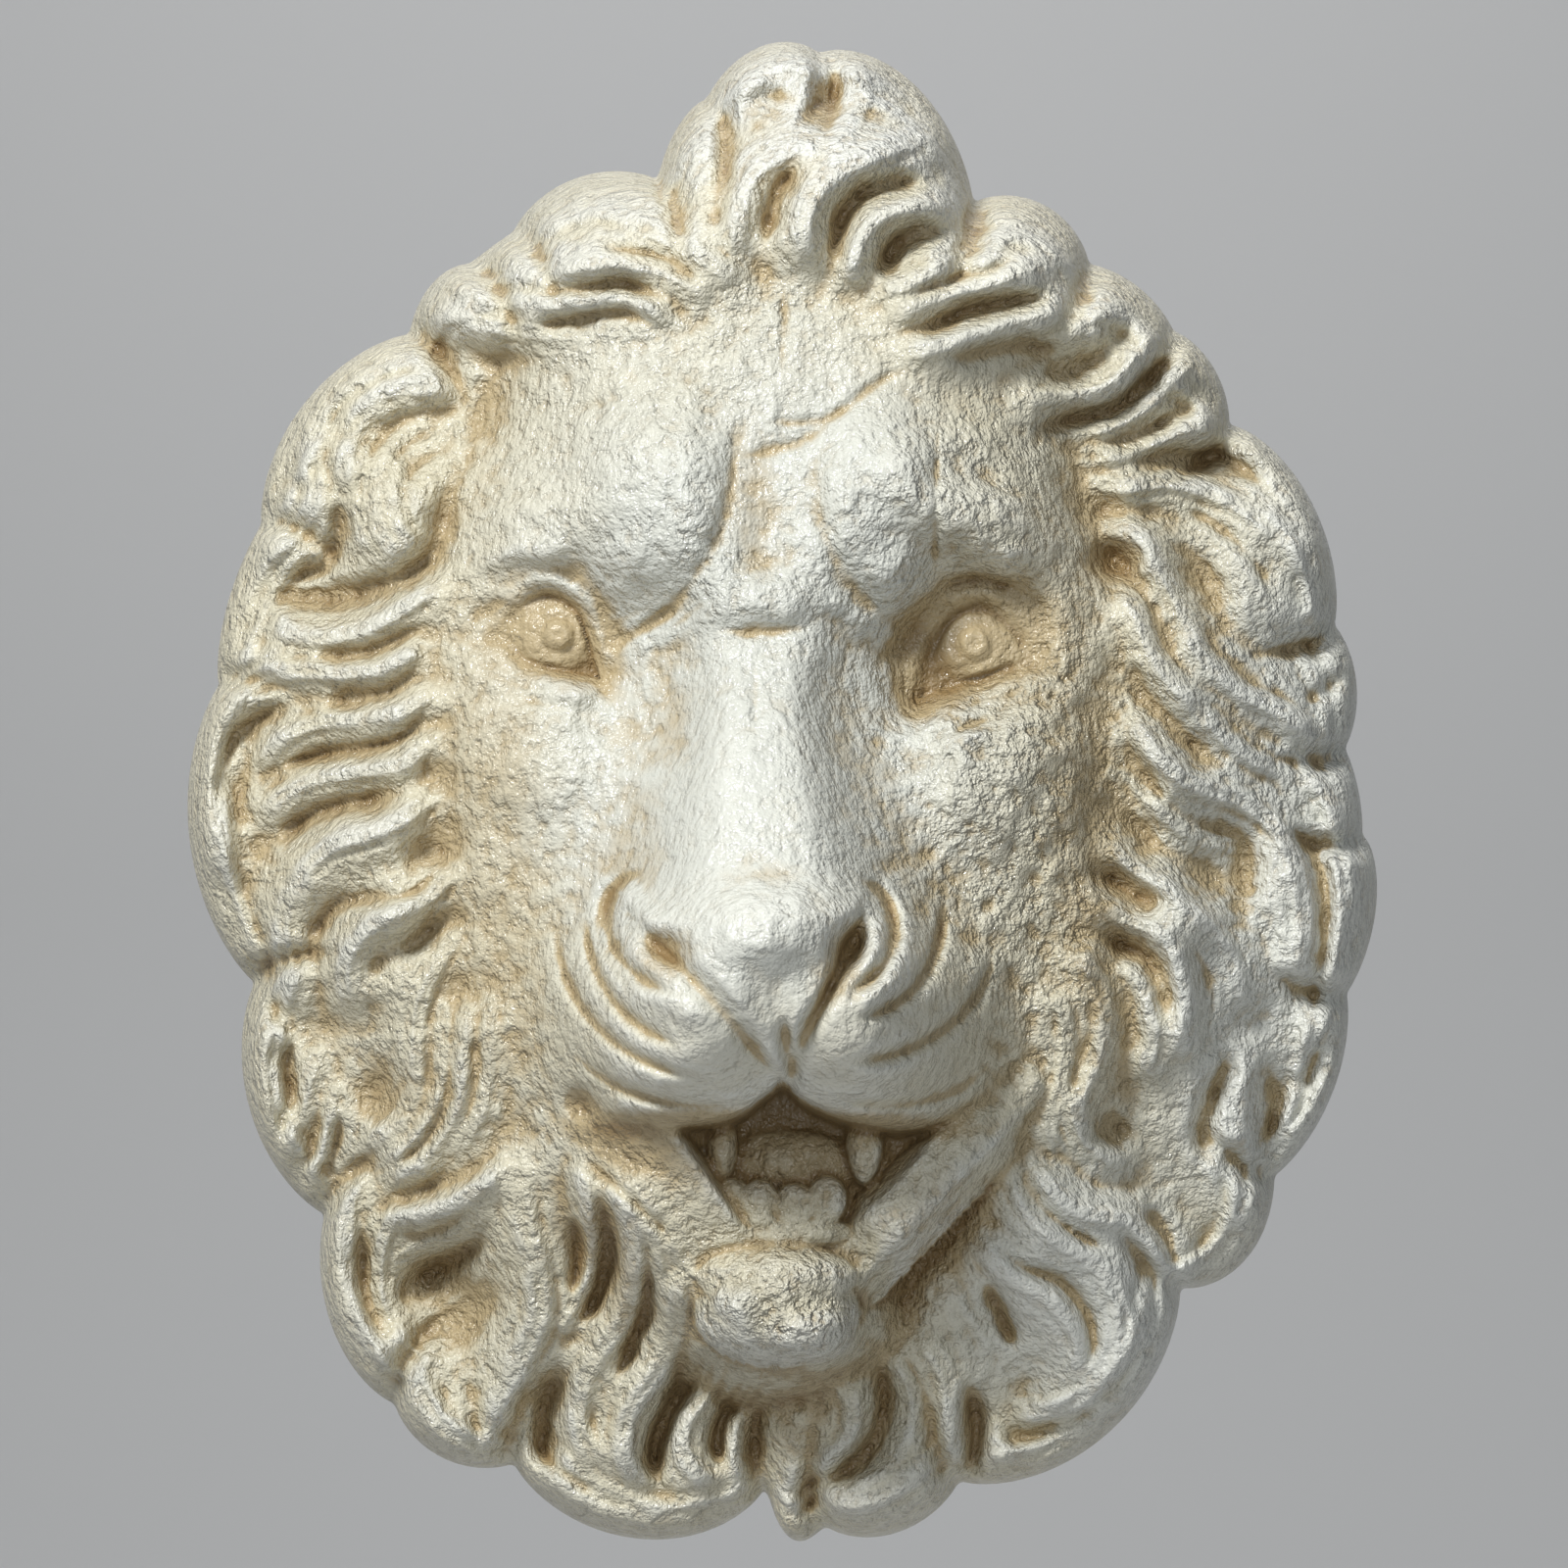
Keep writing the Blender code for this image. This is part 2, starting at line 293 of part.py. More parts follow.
# Inside the mouth: tongue, lower teeth, gum, upper fangs, chin: centre (x, z), half width, half
# height, foot depth, rise, blend.
MOUTH_FORMS = (
    (2, -107, 20, 10, 77, 9, 7), (-15, -116, 5.5, 5, 91, 3, 4), (-7, -118, 5.8, 6.5, 92, 3.6, 4),
    (3, -118, 6.2, 5.6, 92, 3.4, 4), (12, -117, 5.6, 6.6, 91, 3.8, 4), (-2, -126, 21, 6, 87, 9, 5),
    (23, -100, 5, 12, 87, 6, 4), (-27, -99, 4.6, 9, 86, 5, 4), (-18, -101, 4.6, 11, 87, 6, 4),
    (-2, -149, 24, 16, 78, 27, 9), (-2, -139, 23, 10, 86, 18, 9), (6, -154, 13, 9, 88, 18, 9),
    (-12, -146, 9, 8, 88, 18, 6),
)


def ease(t):
    """0 to 1 with level ends"""
    t = np.clip(t, 0.0, 1.0)
    return t * t * (3.0 - 2.0 * t)


def soft_max(a, b, blend):
    """the higher of two surfaces, with a fillet of the given size where they meet"""
    k = np.clip(0.5 + 0.5 * (a - b) / blend, 0.0, 1.0)
    return b + (a - b) * k + blend * k * (1.0 - k)


def run_of(x0, z0, leaves, x1, z1, arrives, count=60):
    """points along a cubic from root to tip; a constant turn gives a near circular arc"""
    p0, p3 = np.array([x0, z0], float), np.array([x1, z1], float)
    turn = abs((arrives - leaves + 180.0) % 360.0 - 180.0)
    reach = np.linalg.norm(p3 - p0) / (3.0 * np.cos(np.radians(turn / 4.0)) ** 2)
    a, b = np.radians(leaves), np.radians(arrives)
    p1 = p0 + reach * np.array([np.cos(a), np.sin(a)])
    p2 = p3 - reach * np.array([np.cos(b), np.sin(b)])
    t = np.linspace(0.0, 1.0, count)[:, None]
    return (1 - t) ** 3 * p0 + 3 * (1 - t) ** 2 * t * p1 + 3 * (1 - t) * t ** 2 * p2 + t ** 3 * p3


def through(points, count=80):
    """smooth curve through a few chosen points"""
    p = np.array(points, float)
    p = np.vstack([2 * p[0] - p[1], p, 2 * p[-1] - p[-2]])
    share = np.linspace(0.0, len(points) - 1.001, count)
    k = share.astype(int)
    t = (share - k)[:, None]
    a, b, c, d = p[k], p[k + 1], p[k + 2], p[k + 3]
    bend = (2 * a - 5 * b + 4 * c - d) * t ** 2 + (3 * b - a - 3 * c + d) * t ** 3
    return 0.5 * (2 * b + (c - a) * t + bend)


def closely(path, step):
    """the same run with its points no further apart than a step"""
    travelled = np.concatenate([[0.0], np.cumsum(np.linalg.norm(np.diff(path, axis=0), axis=1))])
    stops = np.linspace(0.0, travelled[-1], int(travelled[-1] / step) + 2)
    return np.column_stack([np.interp(stops, travelled, path[:, k]) for k in (0, 1)])


def beside(path, distance):
    """the same run moved to its left by a distance"""
    ahead = np.gradient(path, axis=0)
    ahead /= np.linalg.norm(ahead, axis=1)[:, None]
    return path + distance * np.column_stack([-ahead[:, 1], ahead[:, 0]])


def lay(field, x, z, path, width, rise, root=0.3, tip=0.25, blend=6.0):
    """adds one rounded strand to a field: bells set closely along the path, joined by a power mean"""
    path = closely(path, 0.24 * width)
    margin = 2.2 * width
    low, high = path.min(0) - margin, path.max(0) + margin
    i = np.flatnonzero((x > low[0]) & (x < high[0]) & (z > low[1]) & (z < high[1]))
    t = np.linspace(0.0, 1.0, len(path))
    tall = ease(t / root) * ease((1.0 - t) / tip)
    wide = width * (0.45 + 0.55 * tall)
    spacing = np.linalg.norm(np.gradient(path, axis=0), axis=1)
    gap = (x[i, None] - path[:, 0]) ** 2 + (z[i, None] - path[:, 1]) ** 2
    bells = (tall ** blend * spacing / wide) * np.exp(-blend * gap / wide ** 2)
    height = rise * (bells.sum(1) / np.sqrt(np.pi / blend)) ** (1.0 / blend)
    field[i] = (field[i] ** 3 + height ** 3) ** (1.0 / 3.0)


def along(x, z, path):
    """share of a path's length at the place nearest to each point, and the distance to it"""
    share, near = np.zeros(len(x)), np.full(len(x), np.inf)
    for k in range(len(path) - 1):
        step = path[k + 1] - path[k]
        px, pz = x - path[k, 0], z - path[k, 1]
        u = np.clip((px * step[0] + pz * step[1]) / max(step @ step, 1e-9), 0.0, 1.0)
        gap = np.hypot(px - u * step[0], pz - u * step[1])
        share = np.where(gap < near, (k + u) / (len(path) - 1), share)
        near = np.minimum(near, gap)
    return share, near


def carve(x, z, ridges, slots):
    """height that ridges add and the depth that slots take away"""
    raised, lowered = np.zeros(len(x)), np.zeros(len(x))
    for *run, width, rise in ridges:
        lay(raised, x, z, run_of(*run), width, rise)
    for *run, width, depth in slots:
        lay(lowered, x, z, run_of(*run), width, depth)
    return raised - lowered


def locks(x, z):
    """height of the mane's long locks, less the depth of the valleys between them"""
    broad, tall, open_, deep = MANE_FULLNESS
    raised, lowered = np.zeros(len(x)), np.zeros(len(x))
    for points, width, rise in MANE_LOCKS:
        lay(raised, x, z, through(points), broad * width, tall * rise, 0.12, 0.15)
    for points, width, depth in MANE_VALLEYS:
        lay(lowered, x, z, through(points), open_ * width, deep * depth)
    return raised - lowered


def mass(x, z, cx, cz, wide, tall, turn, rise, square):
    """a smooth swelling; a higher squareness gives a flatter top and steeper flanks"""
    a = np.radians(turn)
    u = ((x - cx) * np.cos(a) + (z - cz) * np.sin(a)) / wide
    v = (-(x - cx) * np.sin(a) + (z - cz) * np.cos(a)) / tall
    return rise * np.exp(-(u * u + v * v) ** square)


def section(z, column):
    """one column of the head's sections, run smoothly through the heights"""
    rows = np.array(HEAD_SECTIONS[::-1], float)
    at, value = rows[:, 0], rows[:, column]
    slope = np.gradient(value, at)
    i = np.clip(np.searchsorted(at, z) - 1, 0, len(at) - 2)
    h = at[i + 1] - at[i]
    t = np.clip((z - at[i]) / h, 0.0, 1.0)
    near = (2 * t ** 3 - 3 * t ** 2 + 1) * value[i] + (t ** 3 - 2 * t ** 2 + t) * h * slope[i]
    far = (3 * t ** 2 - 2 * t ** 3) * value[i + 1] + (t ** 3 - t ** 2) * h * slope[i + 1]
    return near + far


def rim_at(heading):
    """rim radius at each heading in degrees, lobe by lobe"""
    radius = np.zeros(len(heading))
    for k in range(len(LOBES)):
        x0, z0, swell, skew = LOBES[k]
        x1, z1 = LOBES[(k + 1) % len(LOBES)][:2]
        start, end = np.degrees(np.arctan2(z0, x0)), np.degrees(np.arctan2(z1, x1))
        u = ((start - heading) % 360.0) / ((start - end) % 360.0)
        i = np.flatnonzero(u <= 1.0)
        v = u[i] ** (2.0 ** skew)
        r0, r1 = np.hypot(x0, z0), np.hypot(x1, z1)
        radius[i] = r0 + (r1 - r0) * u[i] + swell * (4.0 * v * (1.0 - v)) ** 0.85
    return radius


HEADINGS = np.arange(0.0, 360.0, 0.125)


def averaged(values, reach):
    """running mean round the closed rim"""
    around = np.concatenate([values[-reach:], values, values[:reach]])
    return np.convolve(around, np.ones(2 * reach + 1) / (2 * reach + 1), "valid")


RIM = averaged(rim_at(HEADINGS), 3)
BROAD_RIM = averaged(RIM, 60)
RIM_SLANT = np.gradient(BROAD_RIM, np.radians(0.125)) / BROAD_RIM


def rim_radius(x, z):
    """rim radius on the heading of each point"""
    return np.interp(np.degrees(np.arctan2(z, x)) % 360.0, HEADINGS, RIM, period=360.0)


def inside_rim(x, z):
    """distance in from the rim, measured about square to it"""
    heading = np.degrees(np.arctan2(z, x)) % 360.0
    slant = np.interp(heading, HEADINGS, RIM_SLANT, period=360.0)
    return (rim_radius(x, z) - np.hypot(x, z)) / np.sqrt(1.0 + slant ** 2)


def notches(x, z):
    """cuts that run in from the rim where one lobe meets the next"""
    depth = np.zeros(len(x))
    for x0, z0, *rest in LOBES:
        inner = run_of(1.04 * x0, 1.04 * z0, np.degrees(np.arctan2(-z0, -x0)) + NOTCH_SWING,
                       NOTCH_REACH * x0, NOTCH_REACH * z0, np.degrees(np.arctan2(-z0, -x0)) - NOTCH_SWING)
        lay(depth, x, z, inner, NOTCH_WIDTH, NOTCH_DEPTH, 0.02, 0.7)
    return depth


def rim_lines(x, z):
    """lines combed round each lobe: they leave the mane at the lobe's upper end and near the rim below"""
    depth = np.zeros(len(x))
    for k in range(len(LOBES)):
        x0, z0 = LOBES[k][:2]
        x1, z1 = LOBES[(k + 1) % len(LOBES)][:2]
        start, end = np.degrees(np.arctan2(z0, x0)), np.degrees(np.arctan2(z1, x1))
        u = np.linspace(0.0, 1.0, 40)
        heading = start - ((start - end) % 360.0) * u
        radius = np.interp(heading % 360.0, HEADINGS, RIM, period=360.0)
        upward = u if x0 + x1 < 0.0 else 1.0 - u
        for low, high, width, deep in RIM_LINES:
            r = radius - low - (high - low) * upward
            path = np.column_stack([r * np.cos(np.radians(heading)), r * np.sin(np.radians(heading))])
            lay(depth, x, z, path, width, deep, 0.2, 0.2)
    return depth


def mane_form(x, z):
    """the mane without its locks: rises from the rim to the head, and again at the crown"""
    r = np.hypot(x, (z + 6.0) / 1.18)
    level = 30.0 + 46.0 * ease((162.0 - r) / 78.0)
    crown = (50.0 + 40.0 * ease((218.0 - z) / 78.0)) * (0.6 + 0.4 * ease(inside_rim(x, z) / 28.0))
    level += (np.maximum(crown, level) - level) * ease((z - 100.0) / 60.0)
    for row in MANE_MASSES:
        level += mass(x, z, *row)
    return level


def eye_forms(x, z, h):
    """raised lids, the opening between them, the ball standing in it and the iris cut as a ring"""
    for upper, lower, (bx, bz, radius, top), (ix, iz, iris) in EYES:
        over, under = through(upper), through(lower)
        lids = np.zeros(len(x))
        lay(lids, x, z, beside(over, 2.8), 3.6, 8.0, 0.2, 0.2)
        lay(lids, x, z, beside(under, -2.8), 3.6, 5.0, 0.2, 0.2)
        above = np.interp(x, over[:, 0], over[:, 1], left=-999.0, right=-999.0)
        below = np.interp(x, under[:, 0], under[:, 1], left=999.0, right=999.0)
        opened = ease(np.minimum(above - z, z - below) / 2.2)
        ball = top - np.minimum(10.0 * ((x - bx) ** 2 + (z - bz) ** 2) / radius ** 2, 17.0)
        r = np.hypot(x - ix, z - iz)
        ball += 1.4 * np.exp(-(r / iris) ** 4) - 2.2 * np.exp(-((r - iris) / 1.5) ** 2)
        ball -= 1.4 * np.exp(-(r / 1.9) ** 2)
        h = h + lids
        h = h + (ball - h) * opened
    return h


def head_form(x, z):
    """the head: sections, swellings, eyes, folds and the open mouth under the upper lip"""
    middle, side, half = section(z, 1), section(z, 2), section(z, 3)
    h = side + (middle - side) / (1.0 + (np.abs(x + 6.0) / half) ** 4)
    for row in HEAD_MASSES:
        h += mass(x, z, *row)
    h += carve(x, z, HEAD_RIDGES, HEAD_SLOTS)
    h = eye_forms(x, z, h) + 6.0 * nose_pad(x, z)
    edge = through(LIP_EDGE)
    lip = np.interp(x, edge[:, 0], edge[:, 1])
    within = np.minimum(x + 36.0 + 0.7 * (z + 92.0), 50.0 + 0.8 * (z + 92.0) - x)
    opened = ease((lip - z) / 5.0) * ease(within / 8.0) * ease((z + 134.0) / 12.0)
    return h + (MOUTH_FLOOR - h) * opened


def nose_pad(x, z):
    """1 on the bare tip of the nose, between two edges that run from the nostrils to the lip"""
    left_edge = (x + 36.0) * 0.74 + (z + 45.0) * 0.67
    right_edge = (20.0 - x) * 0.91 + (z + 42.0) * 0.41
    return ease(np.minimum(left_edge, right_edge) / 4.0) * ease((-22.0 - z) / 16.0)


def mouth_forms(x, z, h):
    """lower lips, tongue, teeth and chin, each standing up into what is there"""
    for *run, width, corner, chin in LOWER_LIPS:
        share, near = along(x, z, run_of(*run))
        s = near / width
        bar = corner + (chin - corner) * share
        bar -= 8.0 * ease(1.0 - share / 0.3) + 12.0 * ease(share / 0.25 - 3.0)
        bar += 4.0 * np.sqrt(np.clip(1.0 - s * s, 0.0, 1.0)) - 16.0 * np.clip(s - 1.0, 0.0, None)
        h = soft_max(h, np.where(s < 2.0, bar, -99.0), 4.0)
    for cx, cz, wide, tall, foot, rise, blend in MOUTH_FORMS:
        q = np.hypot((x - cx) / wide, (z - cz) / tall)
        ball = foot + rise * np.sqrt(np.clip(1.0 - q * q, 0.0, 1.0)) - 60.0 * np.clip(q - 1.0, 0.0, None)
        h = soft_max(h, np.where(q < 2.0, ball, -99.0), blend)
    return h


def relief(x, z):
    """depth of the carved face off the wall at each point, in carving units"""
    head = head_form(x, z)
    left, right = section(z, 4), section(z, 5)
    q = np.maximum(np.where(x < -4.0, (x + 4.0) / (left + 4.0), (x + 4.0) / (right + 4.0)), 0.0)
    jaw = ease((-80.0 - z) / 30.0)
    flank = np.clip(1.0 - q ** (2.6 + 1.4 * jaw), 0.0, 1.0) ** (0.8 + 0.7 * jaw)
    mane = mane_form(x, z)
    foot = mane - 6.0 - 6.0 * jaw
    h = soft_max(mane, foot + (head - foot) * flank * ease((z + 172.0) / 30.0), 10.0 + 8.0 * jaw)
    h += locks(x, z)
    h = soft_max(h - notches(x, z) - rim_lines(x, z), RIM_WALL, 5.0)
    h = mouth_forms(x, z, h)
    roll = np.clip(1.0 - inside_rim(x, z) / EDGE_ROLL, 0.0, 1.0)
    return RIM_WALL + (h - RIM_WALL) * np.clip(1.0 - roll ** 1.8, 0.0, 1.0) ** 0.6


def rim_grid(rings):
    """square grid drawn out to the rim: ring k lies at k / rings of the rim's radius"""
    line = np.linspace(-1.0, 1.0, 2 * rings + 1)
    a, b = np.meshgrid(line, line, indexing="ij")
    wide = np.abs(a) >= np.abs(b)
    ring = np.where(wide, a, b)
    share = np.divide(np.where(wide, b, a), ring, out=np.zeros_like(ring), where=ring != 0.0)
    angle = np.where(wide, 0.25 * np.pi * share, 0.5 * np.pi - 0.25 * np.pi * share)
    x, z = ring * np.cos(angle), ring * np.sin(angle)
    radius = rim_radius(x.ravel(), z.ravel()).reshape(x.shape)
    return x * radius, z * radius


def placed(x, z, depth):
    """points in metres: the carving narrows towards the draft point as it leaves the wall"""
    lean = 1.0 - depth * DEPTH_UNIT / DRAFT_DISTANCE
    return np.column_stack([x * UNIT * lean, -depth * DEPTH_UNIT, z * UNIT * lean])


def casting_mesh():
    """carved front, plain rim wall and flat back as one closed mesh"""
    x, z = rim_grid(GRID_RINGS)
    size = x.shape[0]
    depth = relief(x.ravel(), z.ravel()).reshape(x.shape)
    index = np.arange(size * size).reshape(size, size)
    rim = np.concatenate([index[:-1, 0], index[-1, :-1], index[:0:-1, -1], index[0, :0:-1]])
    depth.ravel()[rim] = RIM_WALL
    front = placed(x.ravel(), z.ravel(), depth.ravel())
    back = placed(x.ravel()[rim], z.ravel()[rim], np.zeros(len(rim)))
    points = np.vstack([front, back, [[0.0, 0.0, 0.0]]])
    corners = (index[:-1, :-1], index[1:, :-1], index[1:, 1:], index[:-1, 1:])
    quads = np.stack([c.ravel() for c in corners], axis=1)
    here = np.arange(len(rim))
    following = np.roll(here, -1)
    base = size * size
    wall = np.stack([rim[following], rim, base + here, base + following], axis=1)
    fan = np.stack([base + following, base + here, np.full(len(rim), base + len(rim))], axis=1)
    mesh = bpy.data.meshes.new("lion_head")
    mesh.from_pydata(points.tolist(), [], quads.tolist() + wall.tolist() + fan.tolist())
    return mesh


def facet(obj, triangles):
    """collapses the dense grid to the wanted number of facets and keeps the back truly flat"""
    bm = bmesh.new()
    bm.from_mesh(obj.data)
    bmesh.ops.triangulate(bm, faces=bm.faces[:])
    bm.to_mesh(obj.data)
    bm.free()
    collapse = obj.modifiers.new("Facets", "DECIMATE")
    collapse.decimate_type = "COLLAPSE"
    collapse.ratio = triangles / len(obj.data.polygons)
    scene_state = bpy.context.evaluated_depsgraph_get()
    mesh = bpy.data.meshes.new_from_object(obj.evaluated_get(scene_state))
    obj.modifiers.clear()
    for vertex in mesh.vertices:
        if vertex.co.y > -0.02 * RIM_THICKNESS:
            vertex.co.y = 0.0
    obj.data = mesh


def paint(name, colour, roughness):
    """painted and varnished casting"""
    material = bpy.data.materials.new(name)
    material.use_nodes = True
    shader = material.node_tree.nodes["Principled BSDF"]
    shader.inputs["Base Color"].default_value = (*colour, 1.0)
    shader.inputs["Roughness"].default_value = roughness
    shader.inputs["Metallic"].default_value = 0.0
    return material


def build():
    for obj in list(bpy.data.objects):
        bpy.data.objects.remove(obj, do_unlink=True)
    casting = bpy.data.objects.new("lion_head", casting_mesh())
    bpy.context.scene.collection.objects.link(casting)
    bpy.context.view_layer.update()
    facet(casting, FACETS)
    casting.data.materials.clear()
    casting.data.materials.append(paint("ivory_paint", (0.80, 0.77, 0.66), 0.38))
    casting.data.shade_smooth()


build()
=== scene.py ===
# %% [markdown]
# # Lion head wall plaque
# The real object is one casting: a lion's head with a full mane and an open mouth, flat behind, made
# to hang on a wall. It was painted ivory, rubbed with an ochre wash and varnished. This script dresses
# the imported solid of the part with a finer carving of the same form, paints it, and sets up the
# camera and the lights as they were for the photograph.

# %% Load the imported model
import bpy
import numpy as np
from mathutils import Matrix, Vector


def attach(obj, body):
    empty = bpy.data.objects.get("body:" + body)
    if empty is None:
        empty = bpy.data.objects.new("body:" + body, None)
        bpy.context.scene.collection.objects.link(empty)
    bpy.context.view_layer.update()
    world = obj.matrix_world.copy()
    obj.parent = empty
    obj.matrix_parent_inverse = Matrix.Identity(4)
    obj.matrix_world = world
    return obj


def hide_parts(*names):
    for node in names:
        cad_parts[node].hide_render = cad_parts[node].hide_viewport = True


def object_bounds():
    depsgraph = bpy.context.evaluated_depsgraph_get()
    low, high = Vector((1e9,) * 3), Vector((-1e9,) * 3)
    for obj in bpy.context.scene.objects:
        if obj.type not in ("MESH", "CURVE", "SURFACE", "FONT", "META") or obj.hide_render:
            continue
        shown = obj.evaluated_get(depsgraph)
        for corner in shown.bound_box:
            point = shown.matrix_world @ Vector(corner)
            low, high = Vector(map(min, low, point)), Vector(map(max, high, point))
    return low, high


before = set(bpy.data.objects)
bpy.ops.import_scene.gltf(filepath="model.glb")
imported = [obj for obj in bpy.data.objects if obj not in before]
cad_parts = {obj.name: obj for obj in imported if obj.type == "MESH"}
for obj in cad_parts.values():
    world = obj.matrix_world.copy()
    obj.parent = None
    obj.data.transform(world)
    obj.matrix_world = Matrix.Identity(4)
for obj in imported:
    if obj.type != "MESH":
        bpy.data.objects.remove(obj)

CAD_BOX = [list(corner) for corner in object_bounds()]
print("box of the solid in metres:", CAD_BOX)

# %% [markdown]
# A relief can be sculpted by hand, scanned, or worked out as a height at each point of the wall. The
# third way is used here, because every lock, fold and tooth then stays a line in a table that can be
# read and changed. All lengths below are in carving units: 428 to the plaque's height, measured from
# the middle of the wall face, x to the right and z up. Depths are measured out from the wall.

# %% Sizes
HEIGHT_UNITS = 428.0       # carving units in the plaque's height
NOSE_UNITS = 171.6         # carving units from the wall to the tip of the nose
UNIT = (CAD_BOX[1][2] - CAD_BOX[0][2]) / HEIGHT_UNITS
DEPTH_UNIT = (CAD_BOX[1][1] - CAD_BOX[0][1]) / NOSE_UNITS
DRAFT_DISTANCE = 1.15      # the sides lean in towards a point this far out from the wall
RIM_WALL = 12.0            # plain wall round the rim before the carving rolls over
EDGE_ROLL = 9.0            # width of that roll-over
MOUTH_FLOOR = 77.0         # depth of the floor of the open mouth
# Fullness of the mane against the tables: lock width, lock rise, valley width, valley depth.
MANE_FULLNESS = (1.6, 1.0, 1.05, 0.65)
NOTCH_START = 1.04         # where the cuts between rim lobes start, as a share of the rim's radius
NOTCH_REACH = 0.84         # where they end
NOTCH_SWING = 22.0         # degrees by which those cuts start and end off the radius
NOTCH_WIDTH = 4.0          # half width of those cuts, in carving units
NOTCH_DEPTH = 12.0         # depth of those cuts, in carving units
# Lines combed round each rim lobe: distance in from the rim at the lobe's lower and upper end,
# half width, depth.
RIM_LINES = ((4.0, 11.0, 2.0, 2.5), (9.5, 18.0, 2.2, 2.0))
print("one carving unit is", round(1000 * UNIT, 3), "mm")

# %% [markdown]
# The outline is a ring of lobes, where locks end at the rim. It could be traced, but a few lobes that
# swell between chosen points keep their round shape at any size.

# %% The rim's lobes
# Rim lobes, clockwise as seen: where each begins (x, z), how far it swells past a plain arc to the
# next one's start, and its skew (+ swells late).
LOBES = (
    (-36, 174, 4, 0), (-22, 197, 8, 0), (10, 210, 12, 0), (54, 167.5, 8, 0), (87, 150, 3, 0),
    (111, 131, 4, 0), (127, 104, 7.5, -0.2), (157, 47, 4, 0), (160, 12, 1, 0), (165, -13, 4.5, -0.4),
    (160.5, -58, 4.5, 0), (140, -110, 8, 0.2), (113, -142, 13.5, 0), (50, -197, 7.5, 0),
    (12, -210, 10.5, 0.4), (-5, -198, 15.5, -0.2), (-77, -192, 7, 0), (-111, -175, 8, 0),
    (-131, -121, 8.5, 0), (-151, -55, 8, 0), (-161, 30, 2, -0.4), (-149, 76, 8, 0),
    (-107, 130, 4, 0.2), (-90, 150, 0, 0), (-77, 159.5, 7, 0),
)
print("rim lobes:", len(LOBES))

# %% [markdown]
# A sculptor lays the mane lock by lock, from the root at the face to the tip at the rim. The table
# does the same: each row gives a few points that one lock's crest passes through, and a smooth curve
# joins them. The valleys between the locks are rows of the same kind.

# %% The locks of the mane
# Long locks of the mane: points (x, z) on the crest from root to tip, half width, rise.
RIGHT_LOCKS = (
    (((78, 96), (92, 95.5), (104, 99), (114, 104), (125, 103), (138, 96), (148, 84), (153, 70),
      (154, 54)), 5, 10),
    (((86, 87), (98, 87), (110, 88.5), (122, 85), (134, 79), (144, 70), (149, 58)), 4.6, 10),
    (((112, 76), (122, 70), (130, 62), (136, 52)), 7, 6),
    (((89, 77), (101, 72), (109, 62), (115, 50), (119, 39), (130, 28.5), (143, 22),
      (156, 12)), 4.6, 12),
    (((96, 58), (102, 50), (105, 41), (112, 30), (121, 21), (131, 11), (145, 4)), 4.4, 10),
    (((98, 26), (101, 17), (108, 8), (119, 1), (131, -3), (141, -11), (147, -24), (149, -42),
      (146, -62)), 5, 11),
    (((136, 14), (150, 4), (158, -10), (160, -30), (158, -50), (151, -70), (143, -84)), 5, 9),
    (((97, 8), (103, -1), (111, -9), (121, -14), (131, -16)), 4, 6),
    (((92, -10), (98, -20), (109, -27), (119, -36), (127, -46), (130, -58), (131, -68)), 4.2, 12),
    (((107, -35), (116, -40), (123, -49), (126, -60), (124, -72)), 4.2, 7),
    (((89, -28), (96, -36), (105, -39.5), (111, -46), (114, -56), (115, -68), (111, -78)), 4.4, 11),
    (((95, -49), (101, -53), (104, -61), (105, -72), (102, -82)), 4, 9),
    (((83, -44), (90, -55), (92, -66), (88, -78), (84, -88), (86, -98), (94, -105),
      (101, -110)), 4.6, 10), (((79, -58), (81, -72), (79, -86), (76, -96), (80, -106)), 4, 7),
    (((134, -74), (129, -84), (128, -98), (131, -112), (133, -124)), 7, 10),
    (((159, -64), (158, -78), (152, -90), (144, -101)), 4, 9),
)
